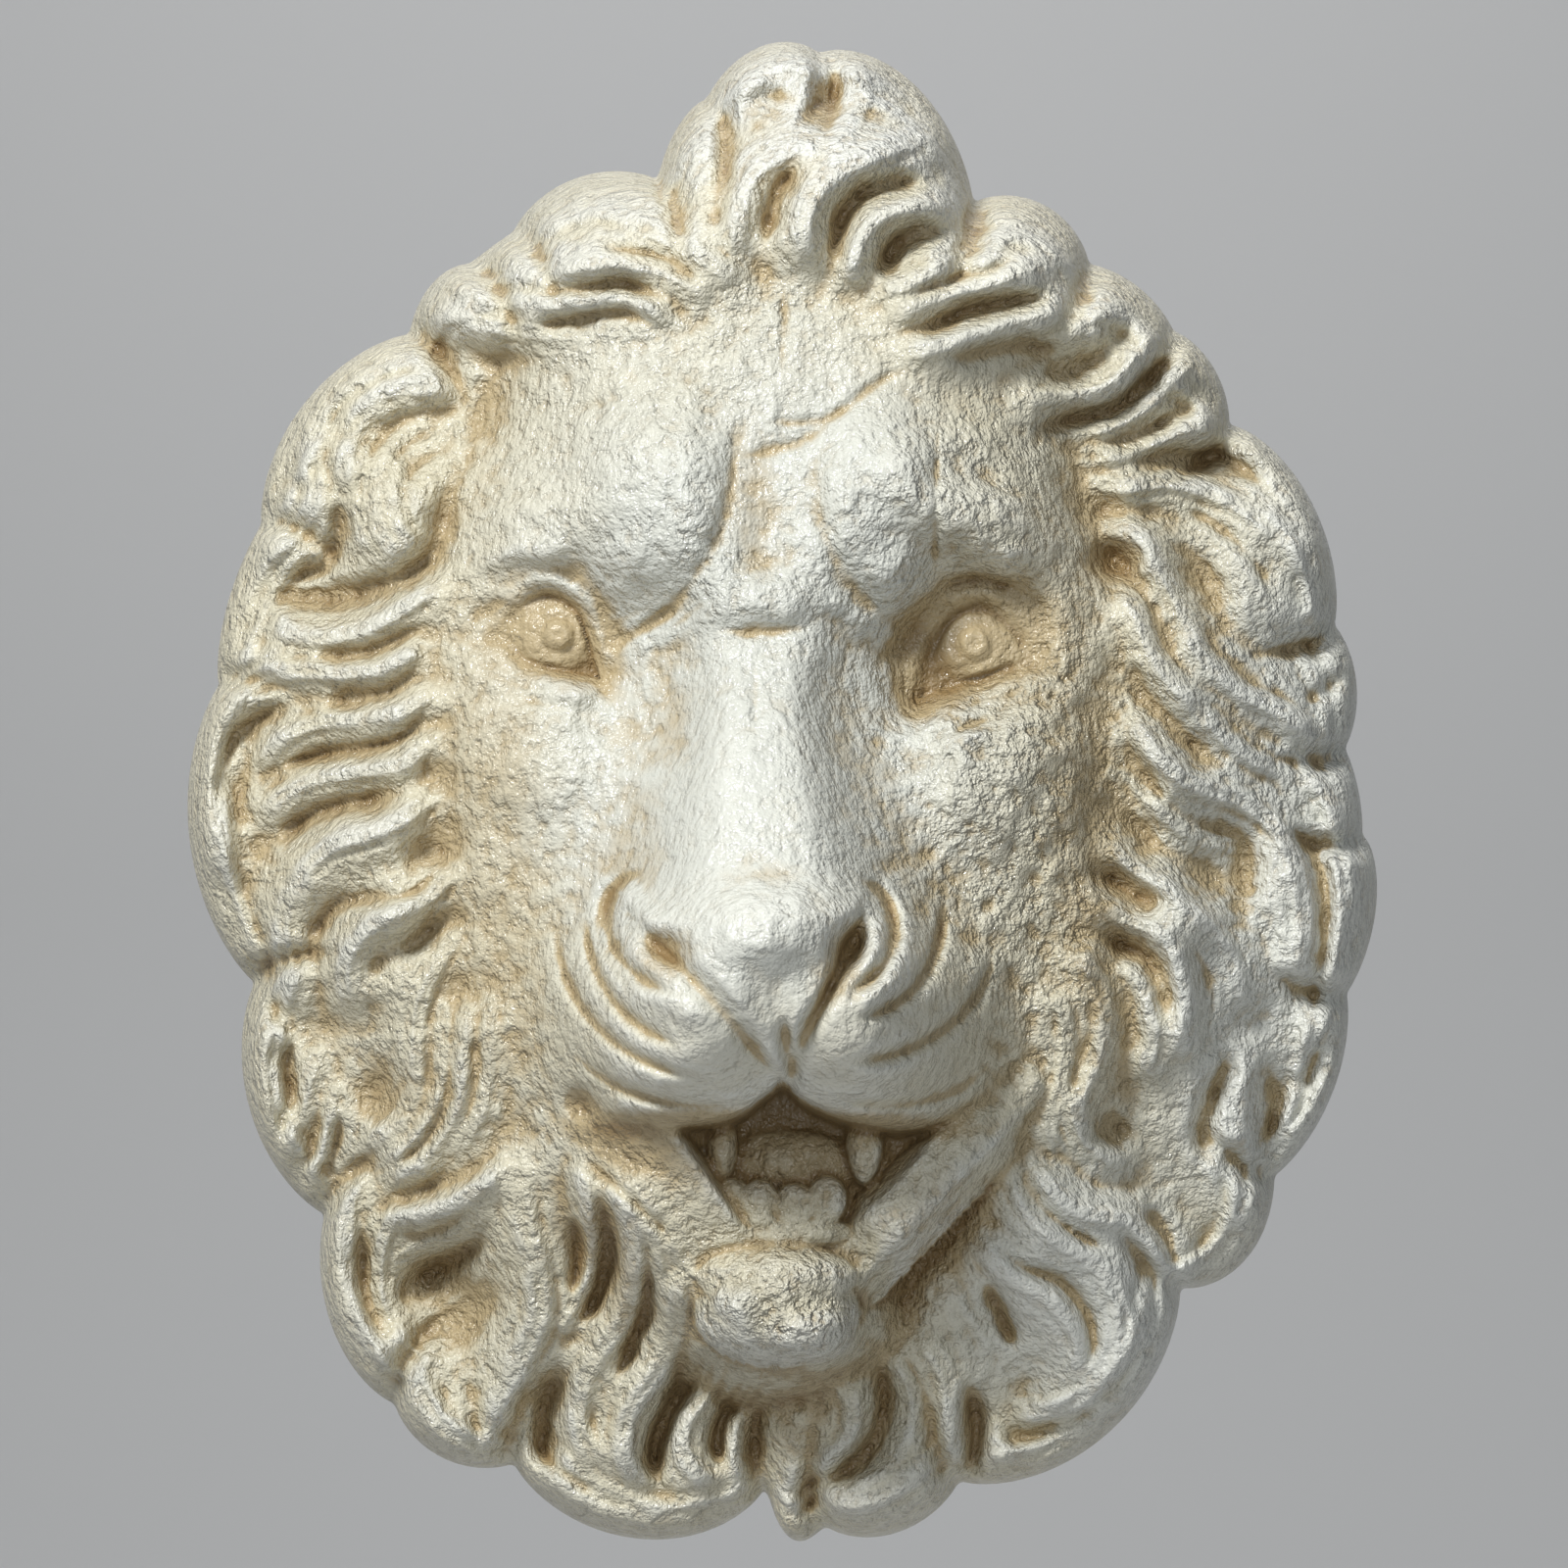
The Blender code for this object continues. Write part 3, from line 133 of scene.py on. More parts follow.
LEFT_LOCKS = (
    (((-96, 114), (-110, 115), (-120, 108), (-125, 97), (-126, 86)), 5, 12),
    (((-96, 105), (-108, 98), (-114, 88), (-113, 76), (-106, 66)), 8, 7),
    (((-118, 122), (-130, 112), (-135, 98), (-134, 84), (-140, 74), (-150, 64)), 5.5, 10),
    (((-134, 116), (-144, 102), (-149, 86)), 4, 6),
    (((-99, 59), (-109, 52), (-120, 46), (-131, 43.5), (-140, 44.5), (-146, 50)), 4.4, 11),
    (((-100, 45), (-110, 37), (-124, 33.5), (-140, 34), (-154, 30), (-163, 18), (-166, 0), (-162, -18),
      (-154, -30)), 5, 11),
    (((-100, 29), (-109, 22.5), (-121, 20.5), (-134, 19), (-144, 14), (-150, 6)), 4.4, 10),
    (((-99, 17), (-108, 8), (-120, 5.5), (-134, 3), (-144, -2), (-150, -10)), 4.2, 10),
    (((-97, 3), (-106, -6), (-118, -12), (-130, -16), (-139, -25), (-143.5, -38), (-141, -54),
      (-133, -66)), 5, 12),
    (((-94, -22), (-102, -31), (-113, -36), (-122, -42), (-126, -52), (-124, -64)), 4.4, 11),
    (((-92, -38), (-99, -50), (-104, -64), (-105, -78), (-108, -90), (-120, -103)), 4, 8),
    (((-97, -58), (-98, -76), (-101, -90), (-109, -101), (-118, -108)), 3.6, 8),
    (((-91, -60), (-92, -78), (-95, -92), (-103, -104), (-116, -113)), 3.8, 9),
    (((-84, -60), (-85, -78), (-87, -92), (-94, -104)), 4, 7),
    (((-146, -64), (-150, -78), (-148, -92), (-143, -106)), 4.4, 9),
    (((-133, -74), (-137, -86), (-141, -98), (-143, -108)), 3.8, 8),
    (((-129, -84), (-130, -98), (-134, -110)), 3.4, 7),
    (((-121, -108), (-127, -120), (-128, -136), (-123, -150), (-113, -162), (-98, -170)), 5, 10),
    (((-110, -118), (-115, -130), (-116, -144), (-111, -156), (-101, -165)), 3.8, 8),
    (((-82, -108), (-92, -117), (-102, -121), (-112, -121)), 4.6, 11),
    (((-84, -119), (-95, -128), (-106, -132), (-112, -136)), 4, 9),
    (((-84, -132), (-94, -143), (-104, -149)), 5, 7),
)
CROWN_LOCKS = (
    (((-13, 153), (-13, 165), (-9, 176), (-1, 182), (9, 184), (17, 189), (23, 197)), 4.6, 10),
    (((6, 150), (5, 162), (9, 172), (18, 178), (30, 184), (42, 187), (49, 182)), 6, 14),
    (((19, 145), (21, 156), (27, 163.5), (37, 166.5), (48, 165)), 3.8, 11),
    (((-26, 176), (-21, 186), (-14, 195), (-8, 204)), 4.6, 7), (((3, 188), (6, 198), (7, 209)), 3.4, 7),
    (((17, 189), (23, 197), (21, 207)), 3.6, 7), (((28, 192), (36, 198), (42, 192), (47, 182)), 4.5, 6),
    (((-13, 146), (-23, 152), (-33, 158), (-44, 163), (-56, 168), (-64, 170)), 5, 9),
    (((-28, 164), (-38, 170), (-50, 174), (-62, 168), (-70, 160)), 5, 6),
    (((-20, 141), (-32, 148), (-44, 151), (-57, 150), (-70, 149), (-84, 153)), 4, 9),
    (((-32, 134), (-45, 140), (-58, 139), (-72, 139), (-88, 141), (-99, 146)), 4, 8),
    (((-60, 130), (-76, 131), (-92, 134), (-103, 136)), 4, 6),
    (((27, 143), (40, 147), (52, 152), (62, 158), (73, 163)), 4.5, 9),
    (((31, 136), (45, 142), (58, 145), (70, 150), (81, 151)), 4.4, 8),
    (((34, 125), (48, 128), (60, 131), (73, 134), (87, 136), (99, 138)), 4.6, 10),
    (((68, 112), (81, 112), (92, 114), (100, 121), (108, 131)), 4.6, 11),
    (((78, 102), (92, 104), (103, 110), (112, 119), (119, 126)), 4, 9),
)
BEARD_LOCKS = (
    (((-76, -104), (-75, -120), (-71, -136), (-70, -150), (-76, -164), (-81, -174), (-77, -188)), 7, 9),
    (((-60, -106), (-56, -120), (-54.5, -133), (-58, -147), (-65, -157)), 3, 9),
    (((-50, -108), (-44, -124), (-43, -140), (-46, -152), (-54, -162), (-59, -174), (-57, -187),
      (-49, -198)), 5.5, 10), (((-41, -116), (-37, -128), (-36, -140), (-37, -150)), 3, 7),
    (((-32, -138), (-31, -152), (-36, -166), (-44, -177), (-46, -189), (-40, -199)), 5.5, 12),
    (((-19, -160), (-23, -172), (-29, -181), (-28, -191), (-20, -199)), 5, 11),
    (((-8, -168), (-14, -178), (-14, -190), (-8, -198)), 3.4, 7),
    (((-70, -194), (-54, -204), (-38, -208), (-22, -209)), 4, 5),
    (((-104, -172), (-97, -182), (-86, -188)), 6, 6),
    (((38, -154), (46, -165), (48, -178), (43, -190), (32, -199), (18, -204), (5, -203)), 5.4, 11),
    (((31, -161), (37, -172), (36, -184), (29, -194), (17, -200)), 3, 6),
    (((12, -165), (19, -173), (19, -183), (13, -191), (3, -195)), 4.4, 9),
    (((44, -140), (50, -150), (55, -160), (54, -170)), 7, 9),
    (((55, -128), (62, -137), (71, -142), (80, -149), (85, -158), (82, -168)), 5, 9),
    (((65, -106), (70, -119), (80, -129), (91, -137), (97, -148), (97, -160), (89, -171), (76, -177),
      (62, -176)), 5.4, 10),
    (((70, -102), (76, -113), (86, -120.5), (98, -123), (106, -132), (110, -144), (108, -157),
      (100, -169), (88, -181)), 4.6, 10), (((56, -186), (68, -190), (80, -186), (91, -179)), 5, 6),
)
MANE_LOCKS = RIGHT_LOCKS + LEFT_LOCKS + CROWN_LOCKS + BEARD_LOCKS
print("locks:", len(MANE_LOCKS))

# %% Valleys between the locks
# Valleys beside them: points (x, z) on the floor, half width, depth.
RIGHT_VALLEYS = (
    (((93, 92), (110, 95), (126, 94), (138, 88)), 4.5, 4), (((88, 83), (97, 79), (108, 79)), 4, 6),
    (((92, 72), (98, 62), (104, 53), (109, 43), (114, 34)), 3.6, 6),
    (((118, 54), (123, 41), (133, 32), (146, 25), (156, 17)), 2.4, 4),
    (((148, 24), (155, 29), (161, 34)), 2.2, 5),
    (((99, 38), (103, 27), (110, 18), (119, 9), (127, 3)), 3.6, 7),
    (((97, 14), (103, 5), (110, -2)), 3, 6), (((100, -6), (105, -16), (114, -25), (124, -34)), 5, 7),
    (((140, -5), (148, -14), (153.5, -26), (153.5, -46), (151, -62)), 2.4, 8),
    (((91, -21), (99, -29), (108, -32.5)), 3, 7),
    (((87, -38), (97, -44), (106, -50), (109, -60), (109, -70)), 3.4, 10),
    (((88, -66), (86, -77), (82, -88)), 2.6, 6),
    (((131, -74), (124, -84), (119.5, -96), (121, -108)), 3, 11),
    (((138, -74), (139, -88), (138, -104), (140, -112)), 4, 13),
    (((157, -66), (151, -79), (148, -90), (143, -98)), 3, 8),
)
LEFT_VALLEYS = (
    (((-92, 109), (-105, 106), (-117, 102), (-119, 94)), 4, 6),
    (((-90, 97), (-96, 86), (-98, 73), (-106, 62), (-120, 56), (-134, 54), (-150, 55)), 4.5, 12),
    (((-136, 114), (-141, 99), (-143, 86), (-148, 79)), 2.6, 6),
    (((-128, 84), (-127, 73), (-131, 64), (-141, 60)), 3.2, 10),
    (((-103, 48), (-112, 42), (-123, 38.5), (-135, 39)), 2.6, 7),
    (((-104, 39), (-109, 31), (-119, 27), (-132, 26)), 3.4, 8),
    (((-138, 24), (-150, 20), (-158, 13), (-158, 2), (-154, -10)), 3.6, 8),
    (((-102, 24), (-108, 16), (-117, 12), (-130, 10), (-144, 7)), 2.4, 8),
    (((-104, 0), (-114, -3), (-127, -5), (-138, -10), (-146, -16)), 4, 10),
    (((-99, -23), (-106, -29), (-117, -30.5), (-127, -33), (-134, -41), (-136, -51)), 2.8, 8),
    (((-95, -33), (-105, -42), (-114, -47), (-120, -56)), 4.4, 9),
    (((-152, -32), (-149, -46), (-146, -60), (-141, -72)), 3, 6),
    (((-101, -72), (-101, -86), (-106, -96), (-114, -104)), 1.8, 5),
    (((-95, -76), (-96, -90), (-103, -101), (-113, -109)), 1.8, 6),
    (((-88, -64), (-88, -82), (-91, -97)), 2, 4),
    (((-80, -101), (-88, -108), (-99, -113), (-110, -117), (-119, -121)), 3, 11),
    (((-146, -68), (-142, -80), (-141, -90), (-145, -101)), 3, 9),
    (((-133, -90), (-134, -100), (-138, -109)), 2.2, 6),
    (((-127, -92), (-128, -102), (-132, -113)), 2.6, 8),
    (((-119, -122), (-120, -136), (-117, -148), (-108, -160)), 3.4, 10),
    (((-90, -121), (-101, -126), (-111, -127)), 1.8, 5),
    (((-84, -128), (-95, -134), (-107, -140)), 3.4, 9),
)
CROWN_VALLEYS = (
    (((-5, 156), (-2, 168), (4, 178)), 3.2, 12),
    (((15, 147), (15, 158), (19, 168), (29, 173), (43, 171)), 4, 14),
    (((29, 144), (31, 154), (38, 160), (48, 160)), 3.6, 12), (((10, 206), (9, 196), (4, 190)), 2.2, 8),
    (((16, 206), (15, 201), (14, 196)), 2.2, 7), (((-14, 180), (-18, 171), (-20, 160)), 3, 8),
    (((-21, 143), (-32, 150), (-43, 153), (-54, 155)), 2.6, 8),
    (((-34, 140), (-46, 144.5), (-58, 143.5), (-72, 142)), 2.4, 8),
    (((-34, 131), (-46, 136), (-60, 134), (-74, 131)), 2.6, 8),
    (((-70, 122), (-86, 124), (-102, 128)), 4, 6), (((34, 140), (46, 145), (58, 148), (66, 153)), 2, 6),
    (((31, 131), (42, 132), (53, 137), (66, 139.5), (79, 141)), 3, 12),
    (((45, 122), (56, 125), (68, 127), (80, 125)), 2.8, 9),
    (((72, 118), (84, 120), (95, 127), (102, 134)), 4, 7),
    (((71, 104), (84, 106), (96, 110), (104, 117), (111, 126)), 3, 10),
    (((88, 98), (101, 101), (111, 106), (120, 112)), 3, 9),
    (((40, 122), (28, 117), (12, 106), (-8, 105)), 1.6, 2.6),
    (((0, 146), (0, 132), (-1, 116)), 1.4, 1.6),
)
BEARD_VALLEYS = (
    (((-60, -120), (-58.5, -132), (-61, -145)), 2.2, 8),
    (((-54, -112), (-51, -122), (-50, -134), (-54, -145), (-62, -154)), 3.2, 16),
    (((-39, -132), (-39, -146), (-43, -157), (-48, -168)), 2.6, 12),
    (((-25, -156), (-28, -168), (-34, -179), (-37, -190), (-35, -199)), 3.6, 22),
    (((-62, -164), (-67, -173), (-69, -183), (-67, -195)), 4.4, 22),
    (((-10, -166), (-14, -174), (-18.5, -182), (-19, -194)), 2.8, 14),
    (((-90, -166), (-88, -180), (-87, -190)), 2.4, 6),
    (((22, -160), (28, -168), (28, -178), (24, -187), (16, -195), (6, -198)), 3.4, 14),
    (((53, -168), (54, -178), (54, -188), (52, -199)), 3.6, 22),
    (((57, -140), (61, -148), (66, -159)), 2.8, 12),
    (((60, -129), (68, -136), (78, -140), (86, -149), (88, -159), (84, -168)), 2.4, 9),
    (((67, -107), (72, -118), (82, -126), (94, -131)), 2, 7),
    (((104, -138), (107, -148), (104, -159), (96, -169), (84, -178)), 2.2, 9),
    (((58, -181), (70, -184), (82, -180), (92, -173)), 2.4, 7),
    (((102, -118), (109, -127), (113, -139)), 2.6, 10),
    (((58, -106), (46, -122), (34, -138), (24, -154)), 7, 24),
)
MANE_VALLEYS = RIGHT_VALLEYS + LEFT_VALLEYS + CROWN_VALLEYS + BEARD_VALLEYS
print("valleys:", len(MANE_VALLEYS))

# %% The mane's larger masses
# Swellings and hollows of the mane: centre (x, z), half width, half height, turn, rise, squareness.
MANE_MASSES = (
    (12, 176, 34, 22, 0, 12, 1.3), (-2, 201, 9, 12, 0, 5, 1.6), (37, 155, 9, 8, 30, -6, 1.3),
    (-114, 86, 20, 28, -15, 14, 1.5), (-104, 96, 10, 8, 40, -7, 1.3), (-142, 88, 8, 20, 10, 2, 1.4),
    (-140, 38, 18, 16, 0, 5, 1.2), (-122, -34, 20, 30, 20, 10, 1.4), (-108, -52, 12, 14, 0, 4, 1.3),
    (-106, -90, 20, 24, -20, 8, 1.4), (-113, -87, 9, 9, 0, -9, 1.3), (-146, -82, 8, 22, -5, 6, 1.4),
    (-96, -144, 14, 13, 0, -14, 1.3), (-98, -116, 20, 10, 25, 9, 1.4), (-76, -140, 13, 34, 5, 10, 1.4),
    (-46, -160, 16, 36, 8, 8, 1.3), (-98, -182, 16, 9, -20, 4, 1.3),
    (140, 62, 17, 28, 8, 9, 1.7), (119, 57, 8, 14, 25, -5, 1.3), (120, 93, 20, 5, -8, -5, 1.4),
    (95, 66, 7, 6, 0, -8, 1.3), (122, -16, 16, 12, -30, -7, 1.3), (141, -40, 9, 28, 0, 8, 1.8),
    (108, -46, 18, 30, 15, 7, 1.3), (112, -92, 10, 34, 0, 6, 1.4), (93, -97, 6, 5, -30, -6, 1.3),
    (129, -99, 8, 22, -6, 4, 1.8), (156, -36, 7, 30, 0, 5, 1.5), (86, -144, 26, 32, 20, 18, 1.8),
    (30, -180, 22, 26, 0, 9, 1.3), (2, -181, 9, 9, 0, 5, 1.6), (90, 118, 32, 20, -35, 6, 1.2),
    (118, 104, 7, 6, 0, 4, 1.3), (-60, 146, 32, 16, 25, 5, 1.2), (-160, -8, 9, 28, 0, 5, 1.4),
    (30, -132, 14, 18, -25, -12, 1.2), (-14, -168, 12, 10, 0, -8, 1.2),
    (96, -14, 11, 56, 4, -13, 1.5), (-99, -30, 9, 60, 0, -8, 1.5), (88, 84, 9, 22, 12, -6, 1.4),
)
print("swellings and hollows of the mane:", len(MANE_MASSES))

# %% [markdown]
# The head is built like a ship's hull, from sections at chosen heights: how far the middle and the
# sides stand out, and how wide the head is. Brows, cheeks, muzzle and nose are then swollen out of
# it, and folds, nostrils and the gaps by the eyes are cut into it.

# %% The head's sections
# At each height z: depth along the middle, depth of the sides, half width of the middle form, and
# the head's left and right limits.
HEAD_SECTIONS = (
    (190, 58, 56, 60, -36, 36), (160, 84, 78, 60, -62, 60), (140, 93, 88, 60, -74, 72),
    (120, 99, 95, 56, -82, 76), (100, 102, 98, 48, -88, 82), (80, 105, 97, 32, -95, 88),
    (60, 108, 92, 24, -101, 93), (40, 113, 87, 22, -103, 96), (20, 125, 90, 22, -103, 98),
    (0, 137, 95, 27, -101, 98), (-20, 147, 94, 33, -97, 95), (-40, 151, 90, 44, -92, 88),
    (-60, 147, 85, 55, -87, 80), (-80, 140, 80, 57, -83, 74), (-100, 113, 84, 47, -84, 74),
    (-120, 99, 88, 41, -72, 64), (-140, 86, 76, 33, -54, 48), (-165, 70, 60, 30, -32, 28),
    (-190, 50, 46, 30, -20, 18),
)
print("sections:", len(HEAD_SECTIONS))

# %% Brows, cheeks, muzzle and folds
# Swellings and hollows of the head, with the same columns as the mane's.
HEAD_MASSES = (
    (-38, 84, 22, 27, 14, 14, 1.7), (-47, 62, 12, 9, 30, 6, 1.3), (-72, 76, 19, 11, 8, 8, 1.5),
    (-71, 67, 18, 5, 6, 3, 1.3), (27, 82, 18, 26, -6, 12, 1.7), (33, 90, 7, 9, 0, 4, 1.3),
    (56, 88, 18, 20, 0, 6, 1.5), (33, 58, 11, 9, -20, 6, 1.3), (62, 75, 22, 11, -16, 13, 1.6),
    (64, 64, 18, 5, -10, 3, 1.3), (-7, 55, 15, 7, 0, 5, 1.6), (-69, 46, 21, 16, -8, -17, 1.6),
    (54, 41, 22, 18, 14, -26, 1.7), (-53, 33, 7, 6, -30, -4, 1.2), (-87, 46, 7, 7, 0, -5, 1.3),
    (38, 26, 8, 8, 30, -6, 1.2), (71, 37, 3.2, 2.6, 0, -6, 1.0), (-73, 12, 21, 18, 0, 8, 1.5),
    (63, 6, 23, 23, 8, 12, 1.6), (-36, -66, 27, 25, -12, 18, 1.8), (33, -66, 27, 24, 12, 18, 1.8),
    (-4, -38, 23, 12, 0, 10, 1.5), (-5, -56, 13, 20, 12, 7, 1.4), (-42, -41, 8, 9, 0, 6, 1.3),
    (28, -43, 7, 9, 0, 6, 1.3), (-34, -45, 7, 4.5, -25, -12, 1.3), (19, -44, 7, 5, 60, -14, 1.3),
    (-58, -89, 5, 4, -30, -8, 1.2), (-62, -116, 15, 22, 25, 8, 1.3), (66, -104, 12, 20, -25, 6, 1.3),
)
# Ridges: start (x, z) and the heading it leaves on, end (x, z) and the heading it arrives on, both
# in degrees, half width, rise.
HEAD_RIDGES = (
    (-94, 33, 0, -50, 25, -14, 4, 5), (38, 17, 30, 82, 35, 18, 4.4, 8),
    (44, 11, 34, 74, 24, 4, 4, 3), (-86, 22, 10, -58, 18, -16, 4, 2),
    (-20, 64, 226, -58, 47, 188, 3.4, 1.5), (-16, 55, 218, -48, 38, 206, 3.4, 1.5),
    (10, 56, -35, 36, 44, -20, 4, 3), (-40, -27, 200, -50, -46, 280, 3.4, 5),
    (24, -26, -30, 36, -46, -95, 3.4, 5), (-47, -40, -95, -18, -66, -18, 4.5, 4),
    (36, -36, -80, 20, -61, 200, 4, 4), (-58, -84, -38, -5, -86, 16, 3.4, 4),
    (60, -82, 220, 6, -85, 160, 3.4, 4), (-88, 60, 70, -60, 64, -30, 3, 3),
)
# Folds and cuts the same way, with their depth.
HEAD_SLOTS = (
    (-14, 102, -88, -50, 41, 200, 2.6, 2.6), (-18, 72, 250, -52, 47, 198, 1.4, 0.9),
    (-13, 66, 246, -45, 40, 206, 1.4, 0.9), (10, 98, -100, 36, 44, -30, 3.4, 2.5),
    (44, 106, -92, 43, 60, -90, 1.3, 1.8), (-19, 46, -12, 8, 47, 10, 1.8, 1.8),
    (-13, 95, 12, 14, 105, 40, 1.8, 1.6), (-45, 34, -102, -52, -10, -94, 9, 1.5),
    (10, 40, -88, 20, -14, -75, 9, 3), (-40, -23, 196, -29, -58, -6, 2.6, 9),
    (20, -25, -12, 17, -58, 196, 2.6, 9), (19, -44, -108, 2, -78, -104, 2.4, 5),
    (0, -64, -86, 2, -88, -92, 2.4, 7), (-36, -45, -30, -3, -81, -60, 2.6, 5),
    (-56, -34, -96, -28, -73, -12, 1.9, 5.5), (-65, -38, -90, -22, -82, -4, 1.9, 6),
    (-63, -72, -52, -6, -88, 14, 1.8, 5), (45, -30, -82, 20, -65, 186, 2.1, 6.5),
    (60, -42, -90, 17, -78, 184, 2.2, 7), (60, -76, -124, 11, -88, 168, 1.8, 5),
    (-84, -50, -78, -78, -102, -84, 2.4, 4), (-51, -30, -120, -40, -59, -40, 1.6, 4),
    (-8, 40, -92, -8, 16, -88, 1.2, 0.8), (-60, -102, -42, -24, -136, -46, 1.6, 4),
    (-84, 34, -30, -62, 29, 0, 1.6, 2), (44, 20, 30, 70, 29, 10, 1.6, 2),
    (-90, 48, 40, -78, 54, 10, 1.5, 3.5), (-92, 40, 30, -81, 45, 20, 1.5, 3),
    (44, 57, 30, 78, 48, -50, 1.8, 4), (72, 33, 20, 86, 30, -20, 1.5, 3),
    (46, 14, 40, 66, 20, -10, 1.4, 2),
)
print("swellings:", len(HEAD_MASSES), "ridges:", len(HEAD_RIDGES), "folds and cuts:", len(HEAD_SLOTS))

# %% Eyes and lips
# Eyes: points on the upper and lower edge of the opening from left to right, then the ball's centre
# (x, z), radius and depth, and the iris's centre (x, z) and radius.
EYES = (
    (((-80, 45), (-76, 52), (-68, 56.5), (-60, 52), (-56, 42), (-52, 31)),
     ((-80, 45), (-74, 37), (-65, 34), (-52, 31)), (-65, 44, 12, 87), (-64.5, 44.3, 5.0)),
    (((38, 25), (42, 38), (48, 49), (56, 52.5), (64, 47), (71, 37)),
     ((38, 25), (47, 29), (58, 32.5), (71, 37)), (55, 41, 12, 82), (54.5, 42, 5.6)),
)
# Upper lip: points on its lower edge.
LIP_EDGE = ((-80, -70), (-62, -86), (-48, -92.5), (-32, -94.5), (-15, -92), (-5, -85), (0, -82),
            (6, -87), (20, -93), (38, -95), (54, -88), (70, -74))
# Lower lips from corner to chin: start and end as for the ridges, half width, depth at the corner
# and at the chin.
LOWER_LIPS = ((-63, -91, -46, -20, -136, -50, 7.6, 84, 93), (67, -84, 228, 19, -135, 228, 6.8, 84, 96))

# %% Inside the mouth
# Tongue, lower teeth, gum, upper fangs, chin: centre (x, z), half width, half height, foot depth,
# rise, blend.
MOUTH_FORMS = (
    (2, -107, 20, 10, 77, 9, 7), (-15, -116, 5.5, 5, 91, 3, 4), (-7, -118, 5.8, 6.5, 92, 3.6, 4),
    (3, -118, 6.2, 5.6, 92, 3.4, 4), (12, -117, 5.6, 6.6, 91, 3.8, 4), (-2, -126, 21, 6, 87, 9, 5),
    (23, -100, 5, 12, 87, 6, 4), (-27, -99, 4.6, 9, 86, 5, 4), (-18, -101, 4.6, 11, 87, 6, 4),
    (-2, -149, 24, 16, 78, 27, 9), (-2, -139, 23, 10, 86, 18, 9), (6, -154, 13, 9, 88, 18, 9),
    (-12, -146, 9, 8, 88, 18, 6),
)
print("forms in the mouth and on the chin:", len(MOUTH_FORMS))

# %% [markdown]
# Three simple shapes do all the carving. A lock is a row of bells set along a curve. A mass is one
# wide bell, steeper when its top is to be flat. A fillet joins two surfaces where one stands out of
# the other, as a tooth does out of the gum.

# %% Steps, fillets and masses
def ease(t):
    """0 to 1 with level ends: three times t squared less twice t cubed"""
    t = np.clip(t, 0.0, 1.0)
    return t * t * (3.0 - 2.0 * t)


def soft_max(a, b, blend):
    """the higher of two surfaces; where they come within a blend of each other they are mixed by a
    share k and raised by blend times k times 1 - k, which makes a fillet"""
    k = np.clip(0.5 + 0.5 * (a - b) / blend, 0.0, 1.0)
    return b + (a - b) * k + blend * k * (1.0 - k)


def mass(x, z, cx, cz, wide, tall, turn, rise, square):
    """a swelling: rise times e to minus the squareness-th power of u squared plus v squared, with u
    and v in half widths and half heights; more squareness gives a flatter top and steeper flanks"""
    a = np.radians(turn)
    u = ((x - cx) * np.cos(a) + (z - cz) * np.sin(a)) / wide
    v = (-(x - cx) * np.sin(a) + (z - cz) * np.cos(a)) / tall
    return rise * np.exp(-(u * u + v * v) ** square)


def with_masses(field, x, z, table):
    """a field with every swelling of a table added"""
    for row in table:
        field = field + mass(x, z, *row)
    return field


# %% Curves
def run_of(x0, z0, leaves, x1, z1, arrives, count=60):
    """points along a cubic from root to tip; a constant turn gives a near circular arc"""
    p0, p3 = np.array([x0, z0], float), np.array([x1, z1], float)
    turn = abs((arrives - leaves + 180.0) % 360.0 - 180.0)
    reach = np.linalg.norm(p3 - p0) / (3.0 * np.cos(np.radians(turn / 4.0)) ** 2)
    a, b = np.radians(leaves), np.radians(arrives)
    p1 = p0 + reach * np.array([np.cos(a), np.sin(a)])
    p2 = p3 - reach * np.array([np.cos(b), np.sin(b)])
    t = np.linspace(0.0, 1.0, count)[:, None]
    return (1 - t) ** 3 * p0 + 3 * (1 - t) ** 2 * t * p1 + 3 * (1 - t) * t ** 2 * p2 + t ** 3 * p3


def through(points, count=80):
    """smooth curve through a few chosen points: a cubic from each to the next, whose slope at a
    point is half the step between its two neighbours"""
    p = np.array(points, float)
    p = np.vstack([2 * p[0] - p[1], p, 2 * p[-1] - p[-2]])
    share = np.linspace(0.0, len(points) - 1.001, count)
    k = share.astype(int)
    t = (share - k)[:, None]
    a, b, c, d = p[k], p[k + 1], p[k + 2], p[k + 3]
    bend = (2 * a - 5 * b + 4 * c - d) * t ** 2 + (3 * b - a - 3 * c + d) * t ** 3
    return 0.5 * (2 * b + (c - a) * t + bend)


def closely(path, step):
    """the same run with its points no further apart than a step"""
    travelled = np.concatenate([[0.0], np.cumsum(np.linalg.norm(np.diff(path, axis=0), axis=1))])
    stops = np.linspace(0.0, travelled[-1], int(travelled[-1] / step) + 2)
    return np.column_stack([np.interp(stops, travelled, path[:, k]) for k in (0, 1)])


def beside(path, distance):
    """the same run moved to its left by a distance"""
    ahead = np.gradient(path, axis=0)
    ahead /= np.linalg.norm(ahead, axis=1)[:, None]
    return path + distance * np.column_stack([-ahead[:, 1], ahead[:, 0]])


# %% Strands
BELL_STEP = 0.24           # spacing of a strand's bells, in half widths
BELL_REACH = 2.2           # how far off its path a strand is worked out, in half widths
END_WIDTH = 0.45           # half width at a strand's ends, as a share of that in its middle


